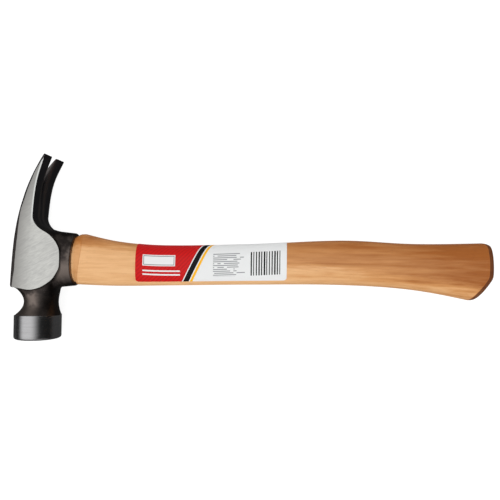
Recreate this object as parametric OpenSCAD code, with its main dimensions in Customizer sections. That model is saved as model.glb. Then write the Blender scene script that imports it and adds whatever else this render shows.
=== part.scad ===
// Framing hammer: a forged steel head, a hickory handle with its wedges, and a paper label.
// It lies on one cheek: +X runs along the handle to the butt, +Y to the claws and +Z up.
// Shapes are drawn about the point where the handle's axis crosses the poll's axis.

/* [Striking poll] */
// Diameter of the poll
poll_d = 37.8; // [34:0.2:42]
// Height of the ground bell
bell_h = 20; // [14:0.5:22]
// Step from the neck's flare out to the ground bell
bell_step = 0.3; // [0.1:0.1:1]
// Bevel round the striking face
face_bevel = 1.8; // [0.6:0.1:3]
// Distance from the handle's axis to the striking face
face_drop = 67.3; // [62:0.1:76]

/* [Neck] */
// Width of the neck at its narrowest, along the handle
neck_w = 27.6; // [24:0.2:32]
// Thickness of the neck at its narrowest, cheek to cheek
neck_t = 26.4; // [24:0.2:32]
// Distance from the handle's axis to the narrowest place
neck_drop = 36; // [32:0.5:40]
// Offset of the neck from the poll's axis towards the handle
neck_shift = 2.7; // [0:0.1:5]
// Fillet between the neck and the socket
neck_fillet = 3; // [1:0.2:8]

/* [Cheeks and crown] */
// Thickness across the ground cheeks
cheek_t = 28; // [25:0.5:32]
// Diameter of the round ground cheeks
cheek_d = 48.6; // [46:0.2:54]
// Offset of the cheeks' centre from the poll's axis towards the crown
cheek_back = 1.2; // [0:0.1:2]
// Offset of the cheeks' centre from the handle's axis towards the poll
cheek_drop = 1; // [0:0.1:2]
// Extra radius of the forging at its middle
cheek_swell = 1.6; // [0:0.1:3]
// Distance from the poll's axis to the crown, on the handle's axis
crown_back = 17.2; // [15:0.2:19]
// Distance from the handle's axis to the crown's lower end
crown_low = 21.2; // [18:0.2:23]
// Lean of the crown, in degrees
crown_lean = 3.5; // [0:0.5:6]
// Bevel along the crown's edges
crown_bevel = 1.6; // [0.4:0.1:3]

/* [Socket and eye] */
// Distance from the poll's axis to the socket's end
socket_reach = 33.4; // [30:0.2:36]
// Height of the socket at its end
socket_h = 44; // [42:0.1:47]
// Thickness of the socket
socket_t = 26.6; // [23:0.2:27.6]
// Taper of the socket's top and bottom, in degrees
socket_draft = 6; // [3:0.5:8]
// Height of the eye at the socket's end
eye_mouth_h = 38.4; // [36:0.1:39]
// Thickness of the eye at the socket's end
eye_mouth_t = 20.4; // [18:0.1:21]
// Height of the eye at its waist
eye_waist_h = 35; // [32:0.1:36]
// Thickness of the eye at its waist
eye_waist_t = 18.6; // [16:0.1:19]
// Height of the eye at the crown
eye_crown_h = 36; // [34:0.1:38]
// Thickness of the eye at the crown
eye_crown_t = 20.2; // [17:0.1:21]
// Clearance between the eye and the wood
eye_fit = 0.1; // [0.05:0.05:0.3]

/* [Claws] */
// Distance from the handle's axis to the claws' tips
claw_reach = 86.3; // [80:0.5:100]
// Distance that the tips sweep past the poll's axis towards the handle
claw_sweep = 12.8; // [8:0.2:18]
// Thickness of the claws at their root
claw_root_t = 13; // [11:0.2:15]
// Thickness of the chisel edge at the tips
claw_tip_t = 0.9; // [0.5:0.1:2]
// Width across the tips
claw_tip_w = 38.8; // [32:0.2:44]
// Fillet between the claws and the socket
claw_fillet = 11.8; // [8:0.2:14]
// Bevel along the claws' inner edges
claw_bevel = 0.8; // [0.2:0.1:1.5]
// Width of the nail slot at the tips
slot_w = 7.6; // [6:0.2:12]
// Length of the nail slot
slot_l = 18; // [12:0.5:30]
// Width of the nail slot at its end
slot_end_w = 1.6; // [0.8:0.1:3]

/* [Handle] */
// Distance from the poll's axis to the end of the butt
handle_reach = 372; // [330:1:430]
// Distance from the socket's end to the handle's shoulder
shoulder_gap = 6.7; // [4:0.1:10]
// Height of the handle at the shoulder
shoulder_h = 42.5; // [40:0.1:46]
// Thickness of the handle at the shoulder
shoulder_t = 24.6; // [22:0.1:27]
// Height of the handle at the throat
throat_h = 33.5; // [30:0.1:38]
// Thickness of the handle at the throat
throat_t = 25; // [22:0.1:28]
// Drop of the throat's centre below the handle's axis
throat_drop = 4.1; // [0:0.1:6]
// Height of the handle at the swell
swell_h = 36.5; // [33:0.1:40]
// Thickness of the handle at the swell
swell_t = 28; // [25:0.1:30]
// Height that the handle reaches at the butt
butt_h = 49.8; // [42:0.1:56]
// Thickness of the handle at the butt
butt_t = 31; // [28:0.1:34]
// Drop of the butt's centre below the handle's axis
butt_drop = 7.5; // [2:0.1:12]
// Distance from the handle's axis to the top of the heel cut
heel_drop = 10.4; // [4:0.1:16]
// Angle of the heel cut from the square end, in degrees
heel_angle = 31; // [15:1:50]
// Rounding of the butt's edges
butt_round = 2.6; // [1:0.1:4]

/* [Wedges] */
// Depth of the wedges' ends below the crown
eye_recess = 0.6; // [0.2:0.1:1.5]
// Length of the wooden wedge
wood_wedge_l = 30; // [22:0.5:36]
// Thickness of the wooden wedge at the crown
wood_wedge_t = 3.6; // [2.4:0.1:5]
// Thickness of the wooden wedge at its point
wood_point_t = 1; // [0.6:0.1:1.6]
// Depth that the saw kerf runs on past the wedge's point
kerf_extra = 3; // [1:0.5:5]
// Length of the steel wedges
steel_wedge_l = 20; // [12:0.5:26]
// Width of the steel wedges
steel_wedge_w = 14; // [10:0.2:15]
// Thickness of the steel wedges at the crown
steel_wedge_t = 2.6; // [1.6:0.1:3.4]
// Thickness of the steel wedges at their point
steel_point_t = 0.6; // [0.4:0.1:1]
// Distance of each steel wedge from the middle of the eye
steel_wedge_out = 8.6; // [7:0.1:10]
// Turn of the steel wedges from square, in degrees
steel_wedge_turn = 20; // [0:1:30]
// Clearance round the wedges
wedge_fit = 0.05; // [0.02:0.01:0.15]

/* [Label] */
// Distance from the poll's axis to the label
label_at = 86.6; // [60:0.2:110]
// Length of the label along the handle
label_l = 123.5; // [80:0.5:150]
// Thickness of the paper
label_t = 0.2; // [0.1:0.05:0.4]
// Clearance between the paper and the wood
label_fit = 0.06; // [0.04:0.01:0.15]

/* [Hidden] */
$fn = 96;

// Length that cuts run on past the faces they open
overrun = 2;

// Sides of a lofted section, and rings along the handle's body, its end and the label
section_sides = 36;
body_rings = 26;
end_rings = 5;
round_rings = 3;
label_rings = 12;
curve_steps = 14;
crown_steps = 8;

// Squareness of lofted sections: 2 is an ellipse and more is boxier
eye_power = 3;
socket_power = 2.5;
handle_power = 2.7;
neck_power = 2.3;
neck_top_power = 8;

// Pull of the crown's and the claws' curves, as shares of their rise
crown_pull_share = 0.48;
tip_pull_share = 0.33;
root_pull_share = 0.64;
inner_pull_share = 0.31;
// Place on the crown's curve where the claws begin
root_share = 0.48;
// Leans of those curves from the head's axis, in degrees
tip_lean = 42;
root_lean = 5;
inner_lean = 17;
crown_turn = 15;
// Directions on the ground cheek and the claws' fillet, in degrees
cheek_join = 48;
fillet_end = 262;
// Where the claws' fillet runs out on the cheek, as a share of the cheek's radius
cheek_join_share = 0.97;

// Where the claws begin to widen, as a share of their reach
flare_share = 0.5;
// Most of a thin edge that its bevel takes
bevel_share = 0.35;
// Where the eye's waist lies between the crown and the socket's end
waist_share = 0.5;
// Where the neck begins, as a share of the way down to the crown's lower end
neck_start_share = 0.97;
// Reach of the neck's front at the cheeks, as a share of the cheeks' radius
neck_front_share = 0.63;
// Radius of the poll's root inside the neck, as a share of the neck's half width
poll_root_share = 0.6;
// Thickness of the fillet between neck and socket, as a share of the neck's
web_share = 0.62;

// Stations along the handle's body, as shares of its length from shoulder to end
station_shares = [0, 0.09, 0.203, 0.42, 0.65, 0.825, 1];
// Their heights and thicknesses, as shares of the step from throat to shoulder,
// from throat to swell and from swell to butt
shoulder_shares = [1, 0.42, 0, 0, 0, 0, 0];
swell_shares = [0, 0, 0, 0, 1, 1, 1];
butt_shares = [0, 0, 0, 0, 0, 0.09, 1];
girth_shares = [0, 0.1, 0, 0.45, 1, 1, 1];
// Their drops, as shares of the throat's and of the butt's drop
throat_drop_shares = [-0.06, 0.75, 1, 0.56, 0, 0, 0];
butt_drop_shares = [0, 0, 0, 0, 0, 0.37, 1];
// Last plain ring before the butt, as a share of the body's length
butt_start_share = 0.92;
// Sides of the section that the label leaves bare at the bottom
label_bare = 8;

head_left = max(poll_d / 2, crown_back + crown_low * tan(crown_lean));
head_half = max(poll_d, claw_tip_w, butt_t) / 2;
shoulder_x = socket_reach + shoulder_gap;
body_l = handle_reach - shoulder_x;

crown_corner = [-crown_back - crown_low * tan(crown_lean), -crown_low];
tip_back = [claw_sweep - claw_tip_t, claw_reach];
tip_front = [claw_sweep, claw_reach];
crown_rise = claw_reach + crown_low;
crown_curve = [
    crown_corner,
    crown_corner + crown_pull_share * crown_rise * lean(crown_lean),
    tip_back - tip_pull_share * crown_rise * lean(tip_lean),
    tip_back
];
root_back = bezier(crown_curve, root_share);
root_x = root_back.x + claw_root_t;
root_front = [root_x, socket_half(root_x + claw_fillet) + claw_fillet];
inner_rise = claw_reach - root_front.y;
inner_curve = [
    root_front,
    root_front + root_pull_share * inner_rise * lean(root_lean),
    tip_front - inner_pull_share * inner_rise * lean(inner_lean),
    tip_front
];

eye_waist_x = mix(-crown_back, socket_reach, waist_share);
bell_top = face_drop - bell_h;
neck_start = neck_start_share * crown_low;
neck_end = bell_top + bell_step;

stations = [for (i = [0 : len(station_shares) - 1]) [
    shoulder_x + station_shares[i] * body_l,
    throat_h + shoulder_shares[i] * (shoulder_h - throat_h) + swell_shares[i] * (swell_h - throat_h)
        + butt_shares[i] * (butt_h - swell_h),
    throat_t + shoulder_shares[i] * (shoulder_t - throat_t) + girth_shares[i] * (swell_t - throat_t)
        + butt_shares[i] * (butt_t - swell_t),
    throat_drop_shares[i] * throat_drop + butt_drop_shares[i] * butt_drop
]];

// Direction in the plan at an angle from the head's axis towards the handle
function lean(angle) = [sin(angle), cos(angle)];

function mix(a, b, share) = a + (b - a) * share;

function bezier(p, u) =
    pow(1 - u, 3) * p[0] + 3 * pow(1 - u, 2) * u * p[1] + 3 * (1 - u) * u * u * p[2] + pow(u, 3) * p[3];

// One coordinate of a rounded, squarish section, from the sine or cosine of its angle
function squarish(v, power) = sign(v) * pow(abs(v), 2 / power);

// Angles round a section: points mirror each other from the first and the last inwards
function section_angle(k) = -90 + (k + 0.5) * 360 / section_sides;

// Value in one column of the stations, with a smooth curve through them
function station_slope(i, column) =
    let (last = len(stations) - 1)
    i > 0 && i < last
        ? (stations[i + 1][column] - stations[i - 1][column]) / (stations[i + 1][0] - stations[i - 1][0])
        : let (a = i == 0 ? 0 : last - 1, inner = i == 0 ? 1 : last - 1)
          1.5 * (stations[a + 1][column] - stations[a][column]) / (stations[a + 1][0] - stations[a][0])
          - 0.5 * station_slope(inner, column);

function along_body(x, column) =
    let (
        last = len(stations) - 2,
        i = [for (k = [0 : last]) if (k == last || x <= stations[k + 1][0]) k][0],
        step = stations[i + 1][0] - stations[i][0],
        u = (x - stations[i][0]) / step
    )
    (2 * pow(u, 3) - 3 * u * u + 1) * stations[i][column]
    + (pow(u, 3) - 2 * u * u + u) * step * station_slope(i, column)
    + (3 * u * u - 2 * pow(u, 3)) * stations[i + 1][column]
    + (pow(u, 3) - u * u) * step * station_slope(i + 1, column);

// Half height and half thickness of the eye at x
function eye_half(x) =
    x < eye_waist_x
        ? let (u = (eye_waist_x - x) / (eye_waist_x + crown_back))
          [mix(eye_waist_h, eye_crown_h, u) / 2, mix(eye_waist_t, eye_crown_t, u) / 2]
        : let (u = (x - eye_waist_x) / (socket_reach - eye_waist_x))
          [mix(eye_waist_h, eye_mouth_h, u) / 2, mix(eye_waist_t, eye_mouth_t, u) / 2];

// Half height of the socket's outside at x
function socket_half(x) = socket_h / 2 + (socket_reach - x) * tan(socket_draft);

// Section of the wood at x: drop, half height, half thickness and squareness
function wood_section(x) =
    x <= socket_reach
        ? let (half = eye_half(x)) [0, half[0] - eye_fit, half[1] - eye_fit, eye_power]
        : x < shoulder_x
            ? let (
                  u = (x - socket_reach) / shoulder_gap,
                  a = wood_section(socket_reach),
                  b = wood_section(shoulder_x)
              )
              [mix(a[0], b[0], u), mix(a[1], b[1], sin(90 * u)), mix(a[2], b[2], u), mix(a[3], b[3], u)]
            : [along_body(x, 3), along_body(x, 1) / 2, along_body(x, 2) / 2, handle_power];

// Point on the wood at x and at an angle round its section, moved out by grow
function wood_point(x, angle, grow = 0) =
    let (s = wood_section(x))
    [
        x,
        -s[0] + (s[1] + grow) * squarish(sin(angle), s[3]),
        (s[2] + grow) * squarish(cos(angle), s[3])
    ];

function wood_ring(x, grow = 0) =
    [for (k = [0 : section_sides - 1]) wood_point(x, section_angle(k), grow)];

// Furthest x of the wood at y: a square end with the heel cut away below
function end_limit(y) = handle_reach - max(0, -heel_drop - y) * tan(heel_angle);

// Point of a ring that turns from square to the butt's end as u goes from 0 to 1
function butt_point(angle, u, setback, grow, x, tries) =
    let (
        p = wood_point(x, angle, grow),
        start = shoulder_x + butt_start_share * body_l,
        reach = mix(start, end_limit(p.y), u) - setback
    )
    tries == 0 ? [reach, p.y, p.z] : butt_point(angle, u, setback, grow, reach, tries - 1);

function butt_ring(u, setback = 0, grow = 0) =
    [for (k = [0 : section_sides - 1])
        butt_point(section_angle(k), u, setback, grow, handle_reach, 4)];

// Outer end of the tenon, in line with the crown
function tenon_end(y) = -crown_back + eye_recess + y * tan(crown_lean);

function tenon_end_ring() =
    [for (p = wood_ring(-crown_back + eye_recess)) [tenon_end(p.y), p.y, p.z]];

// Half width across the claws and cheeks at y
function claw_half(y) =
    let (start = flare_share * claw_reach)
    (cheek_t + (claw_tip_w - cheek_t) * pow(max(0, y - start) / (claw_reach - start), 2)) / 2;

// Ring across the crown or the claws, from a point on the crown to one on the inner side
function claw_ring(back, front) =
    let (
        wall = norm(front - back),
        inward = (front - back) / wall,
        b = min(crown_bevel, bevel_share * wall),
        c = min(claw_bevel, bevel_share * wall),
        half_back = claw_half(back.y),
        half_front = claw_half(front.y),
        back_in = back + b * inward,
        front_in = front - c * inward
    )
    [
        [back.x, back.y, b - half_back],
        [back_in.x, back_in.y, -half_back],
        [front_in.x, front_in.y, -half_front],
        [front.x, front.y, c - half_front],
        [front.x, front.y, half_front - c],
        [front_in.x, front_in.y, half_front],
        [back_in.x, back_in.y, half_back],
        [back.x, back.y, half_back - b]
    ];

// Ring round the neck at a distance below the handle's axis
function neck_ring(drop) =
    let (
        above = drop < neck_drop,
        u = pow(min(1, (drop - neck_drop) / ((above ? neck_start : neck_end) - neck_drop)), 2),
        flare = poll_d / 2 - bell_step,
        top_back = crown_back + neck_start * tan(crown_lean),
        top_front = neck_front_share * cheek_d / 2,
        back = mix(neck_w / 2 - neck_shift, above ? top_back : flare, u),
        front = mix(neck_w / 2 + neck_shift, above ? top_front : flare, u),
        half = mix(neck_t / 2, above ? socket_t / 2 : flare, u),
        power = mix(neck_power, above ? neck_top_power : 2, u)
    )
    [for (k = [0 : section_sides - 1])
        let (a = section_angle(k))
        [
            (front - back) / 2 + (front + back) / 2 * squarish(cos(a), power),
            -drop,
            half * squarish(sin(a), power)
        ]];

function socket_ring(x) =
    [for (k = [0 : section_sides - 1])
        let (a = section_angle(k))
        [x, socket_half(x) * squarish(sin(a), socket_power), socket_t / 2 * squarish(cos(a), socket_power)]];

function eye_ring(x) =
    [for (k = [0 : section_sides - 1])
        let (a = section_angle(k), half = eye_half(x))
        [x, half[0] * squarish(sin(a), eye_power), half[1] * squarish(cos(a), eye_power)]];

// Closed skin through rings of points, with an end face on the first and the last ring
module loft(rings) {
    n = len(rings[0]);
    last = (len(rings) - 1) * n;
    sides = [for (i = [0 : len(rings) - 2], j = [0 : n - 1])
        let (k = (j + 1) % n, a = i * n, b = a + n)
        each [[a + j, a + k, b + k], [a + j, b + k, b + j]]];
    ends = [for (j = [0 : n / 2 - 2])
        let (m = n - 1 - j)
        each [
            [j, m, j + 1], [j + 1, m, m - 1],
            [last + j, last + j + 1, last + m], [last + j + 1, last + m - 1, last + m]
        ]];
    polyhedron(points = [for (r = rings) each r], faces = concat(sides, ends));
}

// Moves a shape from the drawing's axes to where the hammer lies
module laid_down() {
    translate([(head_left - handle_reach) / 2, (face_drop - claw_reach) / 2, head_half]) children();
}

// Frame of the wedges: on the tenon's end, square to the crown
module at_tenon_end() {
    translate([-crown_back + eye_recess, 0, 0]) rotate([0, 0, -crown_lean]) children();
}

module poll() {
    root = poll_root_share * neck_w / 2;
    rotate([90, 0, 0]) rotate_extrude() polygon([
        [0, neck_drop],
        [root, neck_drop],
        [root, bell_top],
        [poll_d / 2, bell_top],
        [poll_d / 2, face_drop - face_bevel],
        [poll_d / 2 - face_bevel, face_drop],
        [0, face_drop]
    ]);
}

module neck() {
    loft(concat(
        [neck_ring(bell_top + overrun)],
        [for (i = [0 : curve_steps]) neck_ring(mix(neck_end, neck_start, i / curve_steps))]
    ));
}

// Fills the corner between the neck and the socket with a fillet
module neck_web() {
    x = neck_shift + neck_w / 2;
    y = -socket_half(x + neck_fillet);
    linear_extrude(web_share * neck_t, center = true) difference() {
        translate([x - neck_fillet, y - neck_fillet]) square([2 * neck_fillet, 2 * neck_fillet]);
        translate([x + neck_fillet, y - neck_fillet]) circle(neck_fillet);
    }
}

module cheeks() {
    r = cheek_d / 2;
    intersection() {
        translate([-cheek_back, -cheek_drop, 0]) rotate_extrude() polygon([
            [0, -cheek_t / 2], [r, -cheek_t / 2], [r + cheek_swell, 0], [r, cheek_t / 2], [0, cheek_t / 2]
        ]);
        translate([claw_root_t / 2 - crown_back, -cheek_d, -cheek_t])
            cube([2 * cheek_d, 2 * cheek_d, 2 * cheek_t]);
    }
}

// Crown and claws in one sweep up the crown's curve
module crown_and_claws() {
    crown = [for (i = [0 : crown_steps - 1])
        let (u = i / crown_steps, back = bezier(crown_curve, root_share * u))
        claw_ring(back, back + claw_root_t * lean(90 + crown_turn * (1 - u)))];
    claws = [for (i = [0 : curve_steps])
        let (u = i / curve_steps)
        claw_ring(bezier(crown_curve, mix(root_share, 1, u)), bezier(inner_curve, u))];
    loft(concat(crown, claws));
}

// Fillet at the claws' root, which runs out on the ground cheek
module claw_root() {
    middle = root_front + [claw_fillet, 0];
    join = cheek_join_share * cheek_d / 2 * [cos(cheek_join), sin(cheek_join)] - [cheek_back, cheek_drop];
    arc = [for (i = [0 : curve_steps])
        let (a = mix(180, fillet_end, i / curve_steps))
        middle + claw_fillet * [cos(a), sin(a)]];
    back = [[claw_root_t / 2 - crown_back, 0], root_front - [claw_root_t / 2, 0]];
    linear_extrude(cheek_t, center = true) polygon(concat(back, arc, [join, [join.x, 0]]));
}

module nail_slot() {
    far = claw_reach + overrun;
    spread = (slot_w - slot_end_w) / slot_l * overrun;
    rotate([90, 0, 90]) linear_extrude(2 * claw_reach, center = true) polygon([
        [claw_reach - slot_l, -slot_end_w / 2],
        [far, -(slot_w + spread) / 2],
        [far, (slot_w + spread) / 2],
        [claw_reach - slot_l, slot_end_w / 2]
    ]);
}

module steel_head() color("dimgray") laid_down() difference() {
    union() {
        poll();
        neck();
        neck_web();
        cheeks();
        crown_and_claws();
        claw_root();
        loft([socket_ring(0), socket_ring(socket_reach)]);
    }
    loft([for (x = [-crown_back - 2 * overrun, eye_waist_x, socket_reach + overrun]) eye_ring(x)]);
    nail_slot();
}

// One side of a wedge's outline from its head to its point, moved out by grow,
// with its taper led on before the head and an extra length after the point
function wedge_side(l, t, point_t, grow, lead, extra) = concat(
    [[-lead, (t + (t - point_t) * lead / l) / 2 + grow], [l, point_t / 2 + grow]],
    extra > 0 ? [[l + extra, point_t / 2 + grow]] : []
);

module wedge_outline(l, t, point_t, grow, lead, extra) {
    side = wedge_side(l, t, point_t, grow, lead, extra);
    polygon(concat(side, [for (i = [len(side) - 1 : -1 : 0]) [side[i].x, -side[i].y]]));
}

// Wooden wedge before its ends follow the eye
module wood_wedge_blank(grow = 0, lead = 0, extra = 0) {
    rotate([90, 0, 0]) linear_extrude(2 * eye_mouth_h, center = true)
        wedge_outline(wood_wedge_l, wood_wedge_t, wood_point_t, grow, lead, extra);
}

// Steel wedge on the claw side (1) or the face side (-1)
module steel_wedge_blank(side, grow = 0, lead = 0, extra = 0) {
    translate([0, side * steel_wedge_out, 0]) rotate([side * steel_wedge_turn, 0, 0])
        linear_extrude(steel_wedge_w + 2 * grow, center = true)
            wedge_outline(steel_wedge_l, steel_wedge_t, steel_point_t, grow, lead, extra);
}

module steel_wedge_slots() {
    for (side = [-1, 1]) steel_wedge_blank(side, wedge_fit, overrun, wedge_fit);
}

module hickory_handle() color("burlywood") laid_down() difference() {
    loft(concat(
        [tenon_end_ring(), wood_ring(eye_waist_x), wood_ring(socket_reach)],
        [for (i = [1 : round_rings]) wood_ring(socket_reach + shoulder_gap * i / (round_rings + 1))],
        [for (i = [0 : body_rings]) wood_ring(shoulder_x + butt_start_share * body_l * i / body_rings)],
        [for (i = [1 : end_rings]) butt_ring(i / (end_rings + 1))],
        [for (i = [0 : round_rings])
            let (a = 90 * i / round_rings)
            butt_ring(1, butt_round * (1 - sin(a)), butt_round * (cos(a) - 1))]
    ));
    at_tenon_end() wood_wedge_blank(wedge_fit, overrun, kerf_extra);
    at_tenon_end() steel_wedge_slots();
}

module wooden_wedge() color("tan") laid_down() difference() {
    intersection() {
        at_tenon_end() wood_wedge_blank();
        loft([wood_ring(-crown_back - overrun), wood_ring(eye_waist_x), wood_ring(socket_reach)]);
    }
    at_tenon_end() steel_wedge_slots();
}

module claw_side_steel_wedge() color("gray") laid_down() at_tenon_end() steel_wedge_blank(1);

module face_side_steel_wedge() color("gray") laid_down() at_tenon_end() steel_wedge_blank(-1);

module paper_label() color("white") laid_down() {
    first = label_bare / 2;
    last = section_sides - 1 - first;
    loft([for (i = [0 : label_rings])
        let (x = label_at + label_l * i / label_rings)
        concat(
            [for (k = [first : last]) wood_point(x, section_angle(k), label_fit + label_t)],
            [for (k = [last : -1 : first]) wood_point(x, section_angle(k), label_fit)]
        )]);
}

steel_head();
hickory_handle();
wooden_wedge();
claw_side_steel_wedge();
face_side_steel_wedge();
paper_label();
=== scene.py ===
# %% [markdown]
# # A framing hammer on a studio table
#
# The hammer is a drop-forged steel head on a hickory handle. Wedges spread the end of the handle in
# the head's eye, and a paper label is glued round the throat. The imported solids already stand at
# their real size and place. This lesson builds the head, the handle and the label again, with the
# forged blends, ground faces, grain and print that the real ones have, in the very same place. The
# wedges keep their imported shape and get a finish.

import math

import bmesh
import bpy
import numpy as np
import openvdb
from mathutils import Matrix, Vector


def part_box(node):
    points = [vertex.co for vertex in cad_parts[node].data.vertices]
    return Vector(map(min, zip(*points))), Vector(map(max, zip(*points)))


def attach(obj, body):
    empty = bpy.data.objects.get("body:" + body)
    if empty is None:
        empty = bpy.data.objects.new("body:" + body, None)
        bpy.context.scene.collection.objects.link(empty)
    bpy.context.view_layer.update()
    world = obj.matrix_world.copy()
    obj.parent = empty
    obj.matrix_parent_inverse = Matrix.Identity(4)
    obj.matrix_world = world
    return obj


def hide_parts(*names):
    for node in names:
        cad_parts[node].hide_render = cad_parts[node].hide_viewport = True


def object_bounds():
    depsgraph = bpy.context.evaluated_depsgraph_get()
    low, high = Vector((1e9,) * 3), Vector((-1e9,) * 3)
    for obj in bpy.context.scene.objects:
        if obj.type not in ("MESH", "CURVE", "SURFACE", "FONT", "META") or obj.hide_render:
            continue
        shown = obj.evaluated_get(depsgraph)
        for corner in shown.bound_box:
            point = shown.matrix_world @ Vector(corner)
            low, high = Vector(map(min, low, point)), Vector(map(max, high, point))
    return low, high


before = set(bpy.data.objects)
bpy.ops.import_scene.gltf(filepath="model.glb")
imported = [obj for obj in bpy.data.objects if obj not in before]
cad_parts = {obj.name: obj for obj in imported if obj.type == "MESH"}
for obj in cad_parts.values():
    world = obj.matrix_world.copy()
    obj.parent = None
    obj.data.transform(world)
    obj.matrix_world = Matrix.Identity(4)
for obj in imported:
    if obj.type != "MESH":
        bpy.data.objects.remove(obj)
cad_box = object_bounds()
print("packed nodes:", ", ".join(sorted(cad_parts)))

# %% [markdown]
# The hammer is drawn about the point where the handle's axis crosses the poll's axis: x runs along
# the handle to the butt, y to the claws, and z up from the middle of the head. All sizes below are
# millimetres about that point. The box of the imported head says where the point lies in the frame.

# %% Find the drawing's origin
MM = 0.001
poll_d = 37.8
face_drop = 67.3
head_low, head_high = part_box("steel_head")
origin = Vector((
    head_low.x + poll_d / 2 * MM,
    head_low.y + face_drop * MM,
    (head_low.z + head_high.z) / 2,
))


def placed(points):
    """Points of the drawing, in millimetres, as points of the frame, in metres."""
    return np.asarray(points, float) * MM + np.array(origin)


print("drawing's origin in the frame:", [round(c, 5) for c in origin])

# %% [markdown]
# The photograph looks almost straight down from about forty centimetres, close enough for strong
# perspective: the claws' inner side shows, and their outer side doesn't. A camera with a square
# sensor and a lens as long as the sensor is wide gives that view. It has no shift, so the other
# views stay centred.

# %% Set up the camera
camera_at = (203.0, 3.3, 415.3)
camera_aim = (179.7, 9.7, 0.0)
camera_roll = math.radians(0.7)
camera_lens = 36.0


def turned_to(at, aim, roll):
    """Rotation that looks from one point to another, with the picture's top near +y."""
    forward = (Vector(aim) - Vector(at)).normalized()
    right = forward.cross(Vector((-math.sin(roll), math.cos(roll), 0.0))).normalized()
    return Matrix((right, right.cross(forward), -forward)).transposed().to_4x4()


def put_in_scene(name, data):
    """A new object that holds some data, linked to the scene."""
    made = bpy.data.objects.new(name, data)
    bpy.context.scene.collection.objects.link(made)
    return made


camera = put_in_scene("camera", bpy.data.cameras.new("camera"))
camera.data.lens = camera_lens
camera.data.sensor_width = camera_lens
camera.matrix_world = Matrix.Translation(placed(camera_at)) @ turned_to(camera_at, camera_aim, camera_roll)
bpy.context.scene.camera = camera
print("camera stands at", [round(c, 3) for c in camera.location])

# %% [markdown]
# A packshot needs two kinds of light. Wood and paper want an even light from above, and three large
# soft boxes give it. Steel shows only what it mirrors. In the photograph that is one broad bright
# panel, from the zenith far down to the left, in a dark room. The sky will be that panel, so the boxes
# are kept out of mirrors.

# %% Hang the soft boxes
side_box, top_box = 1.2, 1.6
near_watts, far_watts, top_watts = 7.0, 5.5, 15.5


def softbox(name, at, size, watts):
    """A square area light that faces the hammer and isn't mirrored; places in metres."""
    light = bpy.data.lights.new(name, "AREA")
    light.size = size
    light.energy = watts
    lamp = put_in_scene(name, light)
    lamp.matrix_world = Matrix.Translation(at) @ turned_to(at, hammer_middle, 0.0)
    lamp.visible_glossy = False
    return lamp


hammer_middle = (cad_box[0] + cad_box[1]) / 2
lamps = [
    softbox("near_box", (-0.1, -1.15, 1.0), side_box, near_watts),
    softbox("far_box", (0.1, 1.15, 1.0), side_box, far_watts),
    softbox("top_box", (0.2, 0.0, 1.8), top_box, top_watts),
]
bpy.context.scene.view_settings.view_transform = "Standard"
print("lights:", ", ".join(lamp.name for lamp in lamps))

# %% [markdown]
# The table is one large pale sheet. A photographer rolls the paper up behind the table so that no
# edge shows. Here a round wall of the same paper stands far off. Only the camera sees it: it throws
# no light or shadow and is in no mirror, so it whitens the view from any side and changes nothing on
# the hammer. The table isn't mirrored either.

# %% Lay the table and stand a wall round it
floor_half = 4.0
wall_r, wall_h, wall_sides = 3.9, 4.0, 96


def sheet_of(name, points, faces):
    """A plain mesh object of the set, in metres."""
    mesh = bpy.data.meshes.new(name)
    mesh.from_pydata(points, [], faces)
    return put_in_scene(name, mesh)


floor_z = cad_box[0].z
floor_corners = [(floor_half * x, floor_half * y, floor_z) for x, y in ((-1, -1), (1, -1), (1, 1), (-1, 1))]
floor = sheet_of("floor", floor_corners, [(0, 1, 2, 3)])
floor.visible_glossy = False

wall_turns = [2 * math.pi * i / wall_sides for i in range(wall_sides)]
wall_points = [(wall_r * math.cos(a), wall_r * math.sin(a), floor_z + h) for h in (0.0, wall_h)
               for a in wall_turns]
wall_pairs = [(i, (i + 1) % wall_sides) for i in range(wall_sides)]
backdrop = sheet_of("backdrop", wall_points, [(i, j, j + wall_sides, i + wall_sides) for i, j in wall_pairs])
for rays in ("glossy", "diffuse", "transmission", "shadow"):
    setattr(backdrop, "visible_" + rays, False)
print("table", 2 * floor_half, "m wide, wall", wall_r, "m away")

# %% [markdown]
# Node trees are easier to read as sums. `Wire` wraps one output socket, so that an expression such
# as `1 - mask * 0.5` adds the Math nodes by itself. `Bench` wraps a tree and has the one method that
# adds any other node: its kind, then its settings, then the values or wires of its sockets.

# %% Make a bench for node trees
class Wire:
    """One output socket; arithmetic on it adds Math nodes to its tree."""

    def __init__(self, bench, socket):
        self.bench = bench
        self.socket = socket

    def output(self, name):
        """Another output of the same node."""
        return Wire(self.bench, self.socket.node.outputs[name])

    def __add__(self, other):
        return self.bench.math("ADD", self, other)

    def __sub__(self, other):
        return self.bench.math("SUBTRACT", self, other)

    def __rsub__(self, other):
        return self.bench.math("SUBTRACT", other, self)

    def __mul__(self, other):
        return self.bench.math("MULTIPLY", self, other)

    def __truediv__(self, other):
        return self.bench.math("DIVIDE", self, other)

    def __rtruediv__(self, other):
        return self.bench.math("DIVIDE", other, self)

    def __pow__(self, other):
        return self.bench.math("POWER", self, other)

    def __neg__(self):
        return self.bench.math("MULTIPLY", self, -1.0)

    def __abs__(self):
        return self.bench.math("ABSOLUTE", self)

    def __gt__(self, other):
        return self.bench.math("GREATER_THAN", self, other)

    def __lt__(self, other):
        return self.bench.math("LESS_THAN", self, other)

    __radd__ = __add__
    __rmul__ = __mul__


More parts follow.
